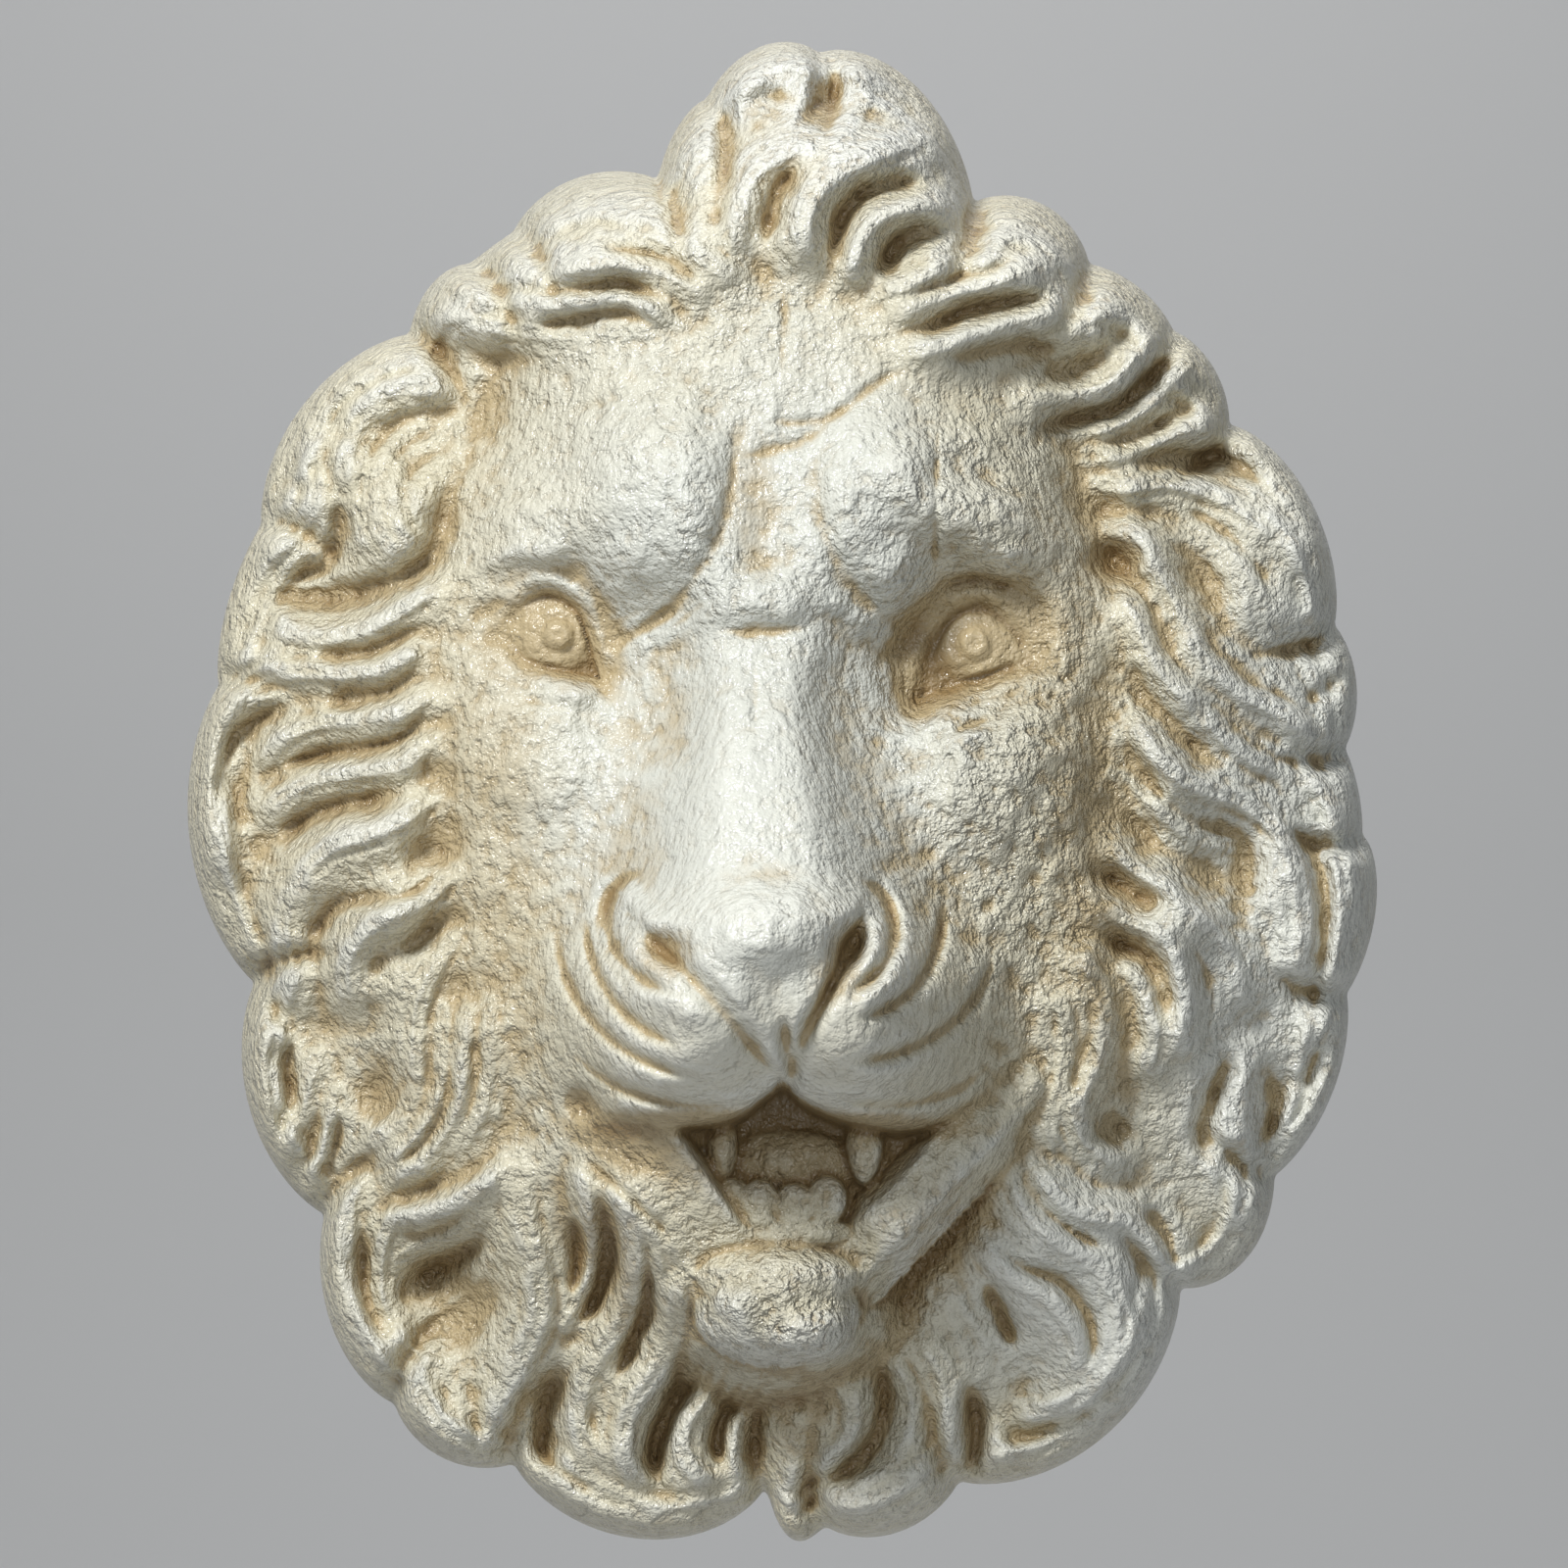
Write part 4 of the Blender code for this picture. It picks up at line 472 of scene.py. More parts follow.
def lay(field, x, z, path, width, rise, root=0.3, tip=0.25, blend=6.0):
    """adds one rounded strand to a field: bells set closely along the path, joined by a power mean;
    root and tip are the shares of its length over which it rises and sinks again"""
    path = closely(path, BELL_STEP * width)
    margin = BELL_REACH * width
    low, high = path.min(0) - margin, path.max(0) + margin
    i = np.flatnonzero((x > low[0]) & (x < high[0]) & (z > low[1]) & (z < high[1]))
    t = np.linspace(0.0, 1.0, len(path))
    tall = ease(t / root) * ease((1.0 - t) / tip)
    wide = width * (END_WIDTH + (1.0 - END_WIDTH) * tall)
    spacing = np.linalg.norm(np.gradient(path, axis=0), axis=1)
    gap = (x[i, None] - path[:, 0]) ** 2 + (z[i, None] - path[:, 1]) ** 2
    bells = (tall ** blend * spacing / wide) * np.exp(-blend * gap / wide ** 2)
    height = rise * (bells.sum(1) / np.sqrt(np.pi / blend)) ** (1.0 / blend)
    field[i] = (field[i] ** 3 + height ** 3) ** (1.0 / 3.0)


def laid(x, z, strands, **ends):
    """a bare field with every strand of a list laid into it: path, half width and height of each"""
    field = np.zeros(len(x))
    for path, width, height in strands:
        lay(field, x, z, path, width, height, **ends)
    return field


def locks(x, z):
    """height of the mane's long locks, less the depth of the valleys between them"""
    broad, tall, open_, deep = MANE_FULLNESS
    raised = ((through(points), broad * width, tall * rise) for points, width, rise in MANE_LOCKS)
    lowered = ((through(points), open_ * width, deep * depth) for points, width, depth in MANE_VALLEYS)
    return laid(x, z, raised, root=0.12, tip=0.15) - laid(x, z, lowered)


def head_folds(x, z):
    """height of the head's ridges, less the depth of its folds and cuts"""
    raised = ((run_of(*run), width, rise) for *run, width, rise in HEAD_RIDGES)
    lowered = ((run_of(*run), width, depth) for *run, width, depth in HEAD_SLOTS)
    return laid(x, z, raised) - laid(x, z, lowered)


# %% From sections to a surface
def section(z, column):
    """one column of the head's sections, run smoothly through the heights: cubics with the table's
    mean slope at each height"""
    rows = np.array(HEAD_SECTIONS[::-1], float)
    at, value = rows[:, 0], rows[:, column]
    slope = np.gradient(value, at)
    i = np.clip(np.searchsorted(at, z) - 1, 0, len(at) - 2)
    h = at[i + 1] - at[i]
    t = np.clip((z - at[i]) / h, 0.0, 1.0)
    near = (2 * t ** 3 - 3 * t ** 2 + 1) * value[i] + (t ** 3 - 2 * t ** 2 + t) * h * slope[i]
    far = (3 * t ** 2 - 2 * t ** 3) * value[i + 1] + (t ** 3 - t ** 2) * h * slope[i + 1]
    return near + far


# %% The outline from its lobes
HEADING_STEP = 0.125       # degrees between the headings at which the rim is worked out
HEADINGS = np.arange(0.0, 360.0, HEADING_STEP)
SWELL_POWER = 0.85         # below 1, a lobe swells more quickly at its ends


def heading_of(x, z):
    """heading of a point seen from the middle, in degrees anticlockwise from the right"""
    return np.degrees(np.arctan2(z, x))


def lobe_arcs():
    """for each lobe, its start and its end as (x, z, heading), its swell and its skew"""
    for (x0, z0, swell, skew), (x1, z1, *rest) in zip(LOBES, LOBES[1:] + LOBES[:1]):
        yield (x0, z0, heading_of(x0, z0)), (x1, z1, heading_of(x1, z1)), swell, skew


def rim_at(heading):
    """rim radius at each heading, lobe by lobe: evenly from the start's radius to the end's, plus a
    swell that is nought at both"""
    radius = np.zeros(len(heading))
    for (x0, z0, start), (x1, z1, end), swell, skew in lobe_arcs():
        u = ((start - heading) % 360.0) / ((start - end) % 360.0)
        i = np.flatnonzero(u <= 1.0)
        v = u[i] ** (2.0 ** skew)
        r0, r1 = np.hypot(x0, z0), np.hypot(x1, z1)
        radius[i] = r0 + (r1 - r0) * u[i] + swell * (4.0 * v * (1.0 - v)) ** SWELL_POWER
    return radius


def averaged(values, reach):
    """running mean round the closed rim"""
    around = np.concatenate([values[-reach:], values, values[:reach]])
    return np.convolve(around, np.ones(2 * reach + 1) / (2 * reach + 1), "valid")


RIM = averaged(rim_at(HEADINGS), 3)
BROAD_RIM = averaged(RIM, 60)      # tells which way the rim runs, without its lobes
RIM_SLANT = np.gradient(BROAD_RIM, np.radians(HEADING_STEP)) / BROAD_RIM
print("rim radius:", round(RIM.min(), 1), "to", round(RIM.max(), 1), "units")


# %% Places told by the rim
def rim_radius(x, z):
    """rim radius on the heading of each point"""
    return np.interp(heading_of(x, z) % 360.0, HEADINGS, RIM, period=360.0)


def inside_rim(x, z):
    """distance in from the rim, measured about square to it: the rest of the radius over the root
    of 1 plus the slant squared"""
    slant = np.interp(heading_of(x, z) % 360.0, HEADINGS, RIM_SLANT, period=360.0)
    return (rim_radius(x, z) - np.hypot(x, z)) / np.sqrt(1.0 + slant ** 2)


def notches(x, z):
    """depth of the cuts that run in from the rim where one lobe meets the next"""
    cuts = []
    for x0, z0, *rest in LOBES:
        inward = heading_of(-x0, -z0)
        cut = run_of(NOTCH_START * x0, NOTCH_START * z0, inward + NOTCH_SWING,
                     NOTCH_REACH * x0, NOTCH_REACH * z0, inward - NOTCH_SWING)
        cuts.append((cut, NOTCH_WIDTH, NOTCH_DEPTH))
    return laid(x, z, cuts, root=0.02, tip=0.7)


def rim_lines(x, z):
    """depth of the lines combed round each lobe: they leave the mane at the lobe's upper end and
    near the rim below"""
    lines, u = [], np.linspace(0.0, 1.0, 40)
    for (x0, z0, start), (x1, z1, end), *rest in lobe_arcs():
        heading = start - ((start - end) % 360.0) * u
        radius = np.interp(heading % 360.0, HEADINGS, RIM, period=360.0)
        across, up = np.cos(np.radians(heading)), np.sin(np.radians(heading))
        upward = u if x0 + x1 < 0.0 else 1.0 - u
        for low, high, width, deep in RIM_LINES:
            r = radius - low - (high - low) * upward
            lines.append((np.column_stack([r * across, r * up]), width, deep))
    return laid(x, z, lines, root=0.2, tip=0.2)


# %% The mane without its locks
# Depth at the low end, gain, where the gain starts and over what distance it comes: for the mane
# by the distance from the middle, for the crown by the height.
MANE_SLOPE = (30.0, 46.0, 162.0, 78.0)
CROWN_SLOPE = (50.0, 40.0, 218.0, 78.0)
MANE_CENTRE_Z, MANE_OVAL = -6.0, 1.18      # middle of the mane's oval, and its height over its width
CROWN_RIM, CROWN_FADE = 0.6, 28.0          # share of the crown's depth at the rim, whole this far in
CROWN_FOOT, CROWN_BLEND = 100.0, 60.0      # height where the crown takes over from the mane


def slope_of(at, low, gain, start, distance):
    """low, plus a gain that comes as the value falls from the start over a distance"""
    return low + gain * ease((start - at) / distance)


def mane_form(x, z):
    """rises from the rim to the head, and again at the crown"""
    level = slope_of(np.hypot(x, (z - MANE_CENTRE_Z) / MANE_OVAL), *MANE_SLOPE)
    near_rim = CROWN_RIM + (1.0 - CROWN_RIM) * ease(inside_rim(x, z) / CROWN_FADE)
    crown = slope_of(z, *CROWN_SLOPE) * near_rim
    level += (np.maximum(crown, level) - level) * ease((z - CROWN_FOOT) / CROWN_BLEND)
    return with_masses(level, x, z, MANE_MASSES)


# %% The eyes
LID_OFFSET, LID_WIDTH = 2.8, 3.6           # from the opening's edge to the lid's crest, half width
UPPER_LID, LOWER_LID = 8.0, 5.0            # rise of the lids
LID_EDGE = 2.2                             # distance over which the lids drop to the ball
BALL_CURVE, BALL_DROP = 10.0, 17.0         # fall of the ball at its radius, and at most
IRIS_RISE, RING_DEPTH, RING_WIDTH = 1.4, 2.2, 1.5
PUPIL_DEPTH, PUPIL_RADIUS = 1.4, 1.9
OUTSIDE = 999.0                            # further off than any point of the plaque


def eye_forms(x, z, h):
    """raised lids, the opening between them, the ball standing in it and the iris cut as a ring"""
    for upper, lower, (bx, bz, radius, top), (ix, iz, iris) in EYES:
        over, under = through(upper), through(lower)
        lids = ((beside(over, LID_OFFSET), LID_WIDTH, UPPER_LID),
                (beside(under, -LID_OFFSET), LID_WIDTH, LOWER_LID))
        above = np.interp(x, over[:, 0], over[:, 1], left=-OUTSIDE, right=-OUTSIDE)
        below = np.interp(x, under[:, 0], under[:, 1], left=OUTSIDE, right=OUTSIDE)
        opened = ease(np.minimum(above - z, z - below) / LID_EDGE)
        ball = top - np.minimum(BALL_CURVE * ((x - bx) ** 2 + (z - bz) ** 2) / radius ** 2, BALL_DROP)
        r = np.hypot(x - ix, z - iz)
        ring = RING_DEPTH * np.exp(-((r - iris) / RING_WIDTH) ** 2)
        ball += IRIS_RISE * np.exp(-(r / iris) ** 4) - ring
        ball -= PUPIL_DEPTH * np.exp(-(r / PUPIL_RADIUS) ** 2)
        h = h + laid(x, z, lids, root=0.2, tip=0.2)
        h = h + (ball - h) * opened
    return h


# %% The face from its parts
FACE_MIDDLE = -6.0                         # x of the face's middle line
# The bare tip of the nose lies between two edges, each a point (x, z) and the way in from it.
NOSE_EDGES = ((-36.0, -45.0, 0.74, 0.67), (20.0, -42.0, -0.91, 0.41))
NOSE_TOP, NOSE_RISE = -22.0, 6.0           # height where that tip starts, and how far it stands up
# The mouth's opening: where its sides start at the left and right corner, how fast they draw
# together further down, the corners' height, and its lower end.
MOUTH_LEFT, MOUTH_RIGHT, LEFT_DRAW, RIGHT_DRAW = -36.0, 50.0, 0.7, 0.8
MOUTH_CORNERS, MOUTH_END = -92.0, -134.0


def nose_pad(x, z):
    """1 on the bare tip of the nose, between two edges that run from the nostrils to the lip"""
    within = [(x - px) * in_x + (z - pz) * in_z for px, pz, in_x, in_z in NOSE_EDGES]
    return ease(np.minimum(*within) / 4.0) * ease((NOSE_TOP - z) / 16.0)


def mouth_opening(x, z):
    """1 where the mouth is open: below the upper lip's edge, between its sides and above its end"""
    edge = through(LIP_EDGE)
    lip = np.interp(x, edge[:, 0], edge[:, 1])
    down = z - MOUTH_CORNERS
    within = np.minimum(x - MOUTH_LEFT + LEFT_DRAW * down, MOUTH_RIGHT + RIGHT_DRAW * down - x)
    return ease((lip - z) / 5.0) * ease(within / 8.0) * ease((z - MOUTH_END) / 12.0)


def head_form(x, z):
    """the sides' depth, plus the middle's lead over 1 plus the fourth power of the distance across
    in half widths; then swellings, folds, eyes, nose and mouth"""
    middle, side, half = section(z, 1), section(z, 2), section(z, 3)
    h = side + (middle - side) / (1.0 + (np.abs(x - FACE_MIDDLE) / half) ** 4)
    h = with_masses(h, x, z, HEAD_MASSES) + head_folds(x, z)
    h = eye_forms(x, z, h) + NOSE_RISE * nose_pad(x, z)
    return h + (MOUTH_FLOOR - h) * mouth_opening(x, z)


# %% Lower lips, tongue, teeth and chin
CORNER_DROP, CHIN_DROP = 8.0, 12.0         # how far the lower lips sink at their two ends
LIP_DOME, LIP_FLANK, LIP_BLEND = 4.0, 16.0, 4.0
TOOTH_FLANK = 60.0                         # fall beside a tooth, for each half width further out
FAR_BELOW = -99.0                          # behind everything, where a form has ended


def along(x, z, path):
    """share of a path's length at the place nearest to each point, and the distance to it"""
    share, near = np.zeros(len(x)), np.full(len(x), np.inf)
    for k in range(len(path) - 1):
        step = path[k + 1] - path[k]
        px, pz = x - path[k, 0], z - path[k, 1]
        u = np.clip((px * step[0] + pz * step[1]) / max(step @ step, 1e-9), 0.0, 1.0)
        gap = np.hypot(px - u * step[0], pz - u * step[1])
        share = np.where(gap < near, (k + u) / (len(path) - 1), share)
        near = np.minimum(near, gap)
    return share, near


def domed(s, rise, flank):
    """rise times the root of 1 less s squared, with s in half widths; beyond s = 1 a straight fall"""
    return rise * np.sqrt(np.clip(1.0 - s * s, 0.0, 1.0)) - flank * np.clip(s - 1.0, 0.0, None)


def mouth_forms(x, z, h):
    """lower lips, tongue, teeth and chin, each a dome standing up into what is there"""
    for *run, width, corner, chin in LOWER_LIPS:
        share, near = along(x, z, run_of(*run))
        s = near / width
        bar = corner + (chin - corner) * share
        bar -= CORNER_DROP * ease(1.0 - share / 0.3) + CHIN_DROP * ease(share / 0.25 - 3.0)
        bar += domed(s, LIP_DOME, LIP_FLANK)
        h = soft_max(h, np.where(s < 2.0, bar, FAR_BELOW), LIP_BLEND)
    for cx, cz, wide, tall, foot, rise, blend in MOUTH_FORMS:
        q = np.hypot((x - cx) / wide, (z - cz) / tall)
        h = soft_max(h, np.where(q < 2.0, foot + domed(q, rise, TOOTH_FLANK), FAR_BELOW), blend)
    return h


# %% The whole relief
HEAD_MIDDLE = -4.0                         # x from which the head's left and right limits are told
JAW_TOP, JAW_FADE = -80.0, 30.0            # below this height the flanks grow steeper, over so much
HEAD_END, HEAD_FADE = -172.0, 30.0         # where the head runs out below, and over what height
# The head's flanks, each value on the skull and what the jaw adds to it: squareness in plan,
# sharpness of the turn, how far under the mane they run, and the fillet between the two.
FLANKS = ((2.6, 1.4), (0.8, 0.7), (6.0, 6.0), (10.0, 8.0))
WALL_FILLET = 5.0                          # fillet where a cut reaches down to the plain wall


def relief(x, z):
    """depth of the carved face off the wall at each point, in carving units: the head over the mane
    by a fillet, then locks, cuts and mouth, rolled down to the plain wall at the rim"""
    head, mane = head_form(x, z), mane_form(x, z)
    off = x - HEAD_MIDDLE
    q = np.maximum(off / (np.where(off < 0.0, section(z, 4), section(z, 5)) - HEAD_MIDDLE), 0.0)
    jaw = ease((JAW_TOP - z) / JAW_FADE)
    square, turn, under, fillet = (skull + more * jaw for skull, more in FLANKS)
    flank = np.clip(1.0 - q ** square, 0.0, 1.0) ** turn
    foot = mane - under
    head = foot + (head - foot) * flank * ease((z - HEAD_END) / HEAD_FADE)
    h = soft_max(mane, head, fillet) + locks(x, z)
    h = soft_max(h - notches(x, z) - rim_lines(x, z), RIM_WALL, WALL_FILLET)
    h = mouth_forms(x, z, h)
    roll = np.clip(1.0 - inside_rim(x, z) / EDGE_ROLL, 0.0, 1.0)
    return RIM_WALL + (h - RIM_WALL) * np.clip(1.0 - roll ** 1.8, 0.0, 1.0) ** 0.6


# %% [markdown]
# The casting was modelled by hand, so nothing on it is truly smooth: there are dents and lumps a few
# millimetres wide, coarser on the mane, the right cheek and the right brow than on the nose. They
# could be painted on as a bump, but a bump leaves the edges and the shadows smooth. Here they are
# true relief: several sizes of value noise, each one finer, lower and turned against the last.

# %% The hand-worked surface
LATTICE = 256                              # random heights each way
LUMPS = ((15.0, 0.7), (8.5, 0.7), (4.8, 0.65), (2.8, 0.36))    # sizes and heights, in carving units
LUMP_TURN, FIRST_TURN = 0.5, 0.3           # how far each noise is turned, in radians
LUMP_SEED, HAIR_SEED = 7, 31
HAIR_PATCH = 9.0                           # size of the patches where hair lines come and go
# Hair lines beside each lock's crest: how far off in half widths, half width and depth.
HAIR_LINES = ((-0.8, 1.5, 1.7), (0.0, 1.3, 1.2), (0.75, 1.5, 1.7))
# Rougher and smoother places: centre (x, z), half width, half height, turn, how much rougher,
# squareness.
ROUGH_PLACES = (
    (72, 2, 26, 40, 0, 0.6, 1.5), (58, 88, 26, 20, 0, 0.5, 1.5), (70, -50, 20, 30, 0, 0.5, 1.5),
    (-2, -148, 24, 15, 0, 0.8, 1.5), (-22, 66, 8, 16, 40, 0.5, 1.3),
)
SMOOTH_PLACES = (
    (-6, -20, 44, 60, 0, -0.3, 1.8), (-40, 20, 62, 110, 0, -0.3, 2.0), (30, 110, 40, 34, 0, -0.4, 1.6),
    (-66, 44, 17, 13, 0, -0.25, 1.8), (55, 41, 19, 14, 0, -0.7, 1.8), (0, -84, 60, 30, 0, -0.4, 1.6),
    (-9, 84, 9, 26, 0, -0.2, 1.6), (80, -140, 34, 34, 0, -0.35, 1.5),
)


def between(field, i, j, a, b):
    """value among four neighbours on a lattice, at the shares a and b of the way"""
    near = field[i, j] + (field[i + 1, j] - field[i, j]) * a
    far = field[i, j + 1] + (field[i + 1, j + 1] - field[i, j + 1]) * a
    return near + (far - near) * b


def value_noise(x, z, size, seed):
    """random heights on a square lattice of that size, joined by smooth steps, about -1 to 1"""
    heights = np.random.default_rng(seed).uniform(-1.0, 1.0, (LATTICE, LATTICE))
    u, v = x / size + LATTICE // 2, z / size + LATTICE // 2
    i, j = (np.floor(w).astype(int) % (LATTICE - 1) for w in (u, v))
    return between(heights, i, j, ease(u % 1.0), ease(v % 1.0))


def roughness_of(x, z):
    """1 on ordinary hair, more on the pitted places and less on the smooth ones"""
    return with_masses(np.ones(len(x)), x, z, ROUGH_PLACES + SMOOTH_PLACES)


def lumps(x, z):
    """sum of the noises, each turned half a radian further than the one before"""
    total = np.zeros(len(x))
    for k, (size, height) in enumerate(LUMPS):
        c, s = np.cos(LUMP_TURN * k + FIRST_TURN), np.sin(LUMP_TURN * k + FIRST_TURN)
        total += height * value_noise(c * x - s * z, s * x + c * z, size, LUMP_SEED + k)
    return total


def hair_lines(x, z):
    """shallow lines drawn along each lock, which come and go with the noise"""
    lines = ((beside(through(points), offset * width), broad, deep)
             for points, width, rise in MANE_LOCKS for offset, broad, deep in HAIR_LINES)
    share = 0.7 + 0.6 * value_noise(x, z, HAIR_PATCH, HAIR_SEED)
    return laid(x, z, lines, root=0.15, tip=0.15) * share


# %% [markdown]
# The carved front is one grid of points. A plain square grid would meet the scalloped rim in steps,
# so the square is drawn out to the rim: its rings become copies of the outline. The wall round the
# rim and the flat back close it, and a Decimate modifier then spends the triangles where the form
# turns most.

# %% A grid drawn out to the rim
GRID_RINGS = 230
TRIANGLES = 190000
LUMP_FADE = 4.0                            # distance from the rim over which lumps and hairs fade


def rim_grid(rings):
    """square grid drawn out to the rim: ring k lies at k / rings of the rim's radius"""
    line = np.linspace(-1.0, 1.0, 2 * rings + 1)
    a, b = np.meshgrid(line, line, indexing="ij")
    wide = np.abs(a) >= np.abs(b)
    ring = np.where(wide, a, b)
    share = np.divide(np.where(wide, b, a), ring, out=np.zeros_like(ring), where=ring != 0.0)
    angle = np.where(wide, 0.25 * np.pi * share, 0.5 * np.pi - 0.25 * np.pi * share)
    x, z = ring * np.cos(angle), ring * np.sin(angle)
    radius = rim_radius(x.ravel(), z.ravel()).reshape(x.shape)
    return x * radius, z * radius


def lean(depth):
    """width left at a depth, as a share of that at the wall: nought at the draft point"""
    return 1.0 - depth * DEPTH_UNIT / DRAFT_DISTANCE


def placed(x, z, depth):
    """points in metres: the carving narrows towards the draft point as it leaves the wall"""
    return np.column_stack([x * UNIT * lean(depth), -depth * DEPTH_UNIT, z * UNIT * lean(depth)])


def surface_depth(x, z):
    """the carving with its hair lines and lumps, which fade out just before the rim"""
    fade = ease(inside_rim(x, z) / LUMP_FADE)
    return relief(x, z) - fade * hair_lines(x, z) + fade * roughness_of(x, z) * lumps(x, z)


# %% The closed surface
def casting_mesh():
    """carved front, plain rim wall and flat back as one closed mesh"""
    x, z = rim_grid(GRID_RINGS)
    size = x.shape[0]
    depth = surface_depth(x.ravel(), z.ravel())
    index = np.arange(size * size).reshape(size, size)
    rim = np.concatenate([index[:-1, 0], index[-1, :-1], index[:0:-1, -1], index[0, :0:-1]])
    depth[rim] = RIM_WALL
    front = placed(x.ravel(), z.ravel(), depth)
    back = placed(x.ravel()[rim], z.ravel()[rim], np.zeros(len(rim)))
    points = np.vstack([front, back, [[0.0, 0.0, 0.0]]])
    corners = (index[:-1, :-1], index[1:, :-1], index[1:, 1:], index[:-1, 1:])
    quads = np.stack([c.ravel() for c in corners], axis=1)
    here = np.arange(len(rim))
    after = np.roll(here, -1)
    base = size * size
    wall = np.stack([rim[after], rim, base + here, base + after], axis=1)
    fan = np.stack([base + after, base + here, np.full(len(rim), base + len(rim))], axis=1)
    mesh = bpy.data.meshes.new("carved_lion_head")
    mesh.from_pydata(points, [], quads.tolist() + wall.tolist() + fan.tolist())
    print("dense grid:", len(points), "points")
    return mesh


# %% Thinning, and the solid's place
BACK_TOLERANCE = 0.0002                    # metres off the wall within which a point is the back's
FACING_WALL = 0.99                         # y of the normal, above which a face is the back's


def thinned(obj, triangles):
    """collapses the edges that matter least and keeps the back truly flat"""
    split = obj.modifiers.new("Split", "TRIANGULATE")
    split.quad_method = "BEAUTY"
    collapse = obj.modifiers.new("Thin", "DECIMATE")
    collapse.ratio = triangles / (8.0 * GRID_RINGS ** 2)
    state = bpy.context.evaluated_depsgraph_get()
    mesh = bpy.data.meshes.new_from_object(obj.evaluated_get(state))
    obj.modifiers.clear()
    where = np.zeros(3 * len(mesh.vertices))
    mesh.vertices.foreach_get("co", where)
    where = where.reshape(-1, 3)
    where[where[:, 1] > -BACK_TOLERANCE, 1] = 0.0
    mesh.vertices.foreach_set("co", where.ravel())
    obj.data = mesh
    print("thinned to", len(mesh.polygons), "triangles")
    return where


casting = bpy.data.objects.new("carved_lion_head", casting_mesh())
bpy.context.scene.collection.objects.link(casting)
bpy.context.view_layer.update()
points = thinned(casting, TRIANGLES)
normals = np.zeros(3 * len(casting.data.polygons))
casting.data.polygons.foreach_get("normal", normals)
casting.data.polygons.foreach_set("use_smooth", normals[1::3] < FACING_WALL)
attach(casting, "root")
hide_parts("lion_head")

# %% [markdown]
# The ochre wash stayed in the hollows and was wiped off what stands out. So the paint has to know, at
# each point, how deep it lies against its neighbours. A renderer's occlusion could find that, but a
# model taken out of Blender would lose it. Here the depths on a plain raster are blurred three times,
# from finely to broadly, and what each blur lies above or below the surface is added up. Four numbers
# are kept on the mesh for the paint to read: how hollow and how proud each point is, touched up in
# listed places, and how pale and how coarse, set by place alone. The touches add painted shade to the
# hollow number in the mouth, the eye sockets, under the muzzle and on the head's flanks, and painted
# light on the right and lower right of the mane; the proud number is partly a painted highlight on
# the crests, and the pale one partly painted light. All four are nought on the flat back, which is
# shaded flat and has no wash.

# %% Rasters and attributes
RASTER = 0.8                               # spacing of the raster, in carving units
RASTER_X = np.arange(-184.0, 184.0, RASTER)
RASTER_Z = np.arange(-232.0, 232.0, RASTER)


def blurred(field, reach):
    """bell-shaped blur, as a product with a bell in the frequencies"""
    fx, fz = np.fft.fftfreq(field.shape[0], RASTER), np.fft.rfftfreq(field.shape[1], RASTER)
    bell = np.exp(-2.0 * (np.pi * reach) ** 2 * (fx[:, None] ** 2 + fz[None, :] ** 2))
    return np.fft.irfft2(np.fft.rfft2(field) * bell, field.shape)


def sampled(field, x, z):
    """a raster's value between its points, by straight lines both ways"""
    u = np.clip((x - RASTER_X[0]) / RASTER, 0.0, len(RASTER_X) - 1.001)
    v = np.clip((z - RASTER_Z[0]) / RASTER, 0.0, len(RASTER_Z) - 1.001)
    i, j = u.astype(int), v.astype(int)
    return between(field, i, j, u - i, v - j)


def keep_attribute(mesh, name, values):
    """one number at each vertex, for the paint to read"""
    attribute = mesh.attributes.new(name, "FLOAT", "POINT")
    attribute.data.foreach_set("value", values.astype(np.float32))
    print(name + ":", round(float(values.mean()), 3), "on average")


# %% Places of wash, painted shade and painted light
# All three tables: centre (x, z), half width, half height, turn, how much, squareness.
# Where more wash stayed, or less. Many entries are painted shade instead: in the mouth, in the eye
# sockets, under the muzzle's pads, beside the nose and the chin, and on the head's flanks. The entries
# below nought are painted light on the right and lower right of the mane.
WASH_AND_SHADE_PLACES = (
    (0, -106, 34, 14, 0, 0.5, 1.8), (42, 34, 9, 14, 20, 1.0, 1.4), (56, 44, 20, 16, 10, 1.0, 1.8),
    (-56, 37, 8, 9, -30, 0.5, 1.4), (-68, 45, 16, 12, 0, 0.75, 1.6), (50, -128, 16, 20, -35, 0.45, 1.4),
    (-34, -47, 8, 7, 0, 0.5, 1.4), (16, -50, 7, 12, -20, 0.5, 1.4), (-9, 82, 7, 22, 0, 0.3, 1.4),
    (-50, -134, 8, 22, 15, 0.5, 1.4), (94, 64, 9, 10, 0, 0.5, 1.4), (-92, -142, 16, 14, 0, 0.25, 1.4),
    (86, -20, 12, 58, 4, 0.5, 1.5), (-84, -10, 16, 70, 0, 0.35, 1.5), (78, 50, 12, 26, 0, 0.25, 1.5),
    (-46, -101, 16, 7, -25, 1.0, 1.5), (-32, -95, 28, 4, 3, 0.9, 1.5), (30, -96, 26, 4, -3, 0.9, 1.5),
    (84, -142, 32, 36, 0, -0.5, 1.5), (124, -76, 22, 34, 0, -0.45, 1.5), (154, -30, 16, 60, 0, -0.5, 1.5),
    (0, 190, 40, 22, 0, 0.12, 1.4), (2, -180, 12, 12, 0, 0.3, 1.4), (-112, -86, 12, 12, 0, 0.3, 1.4),
)
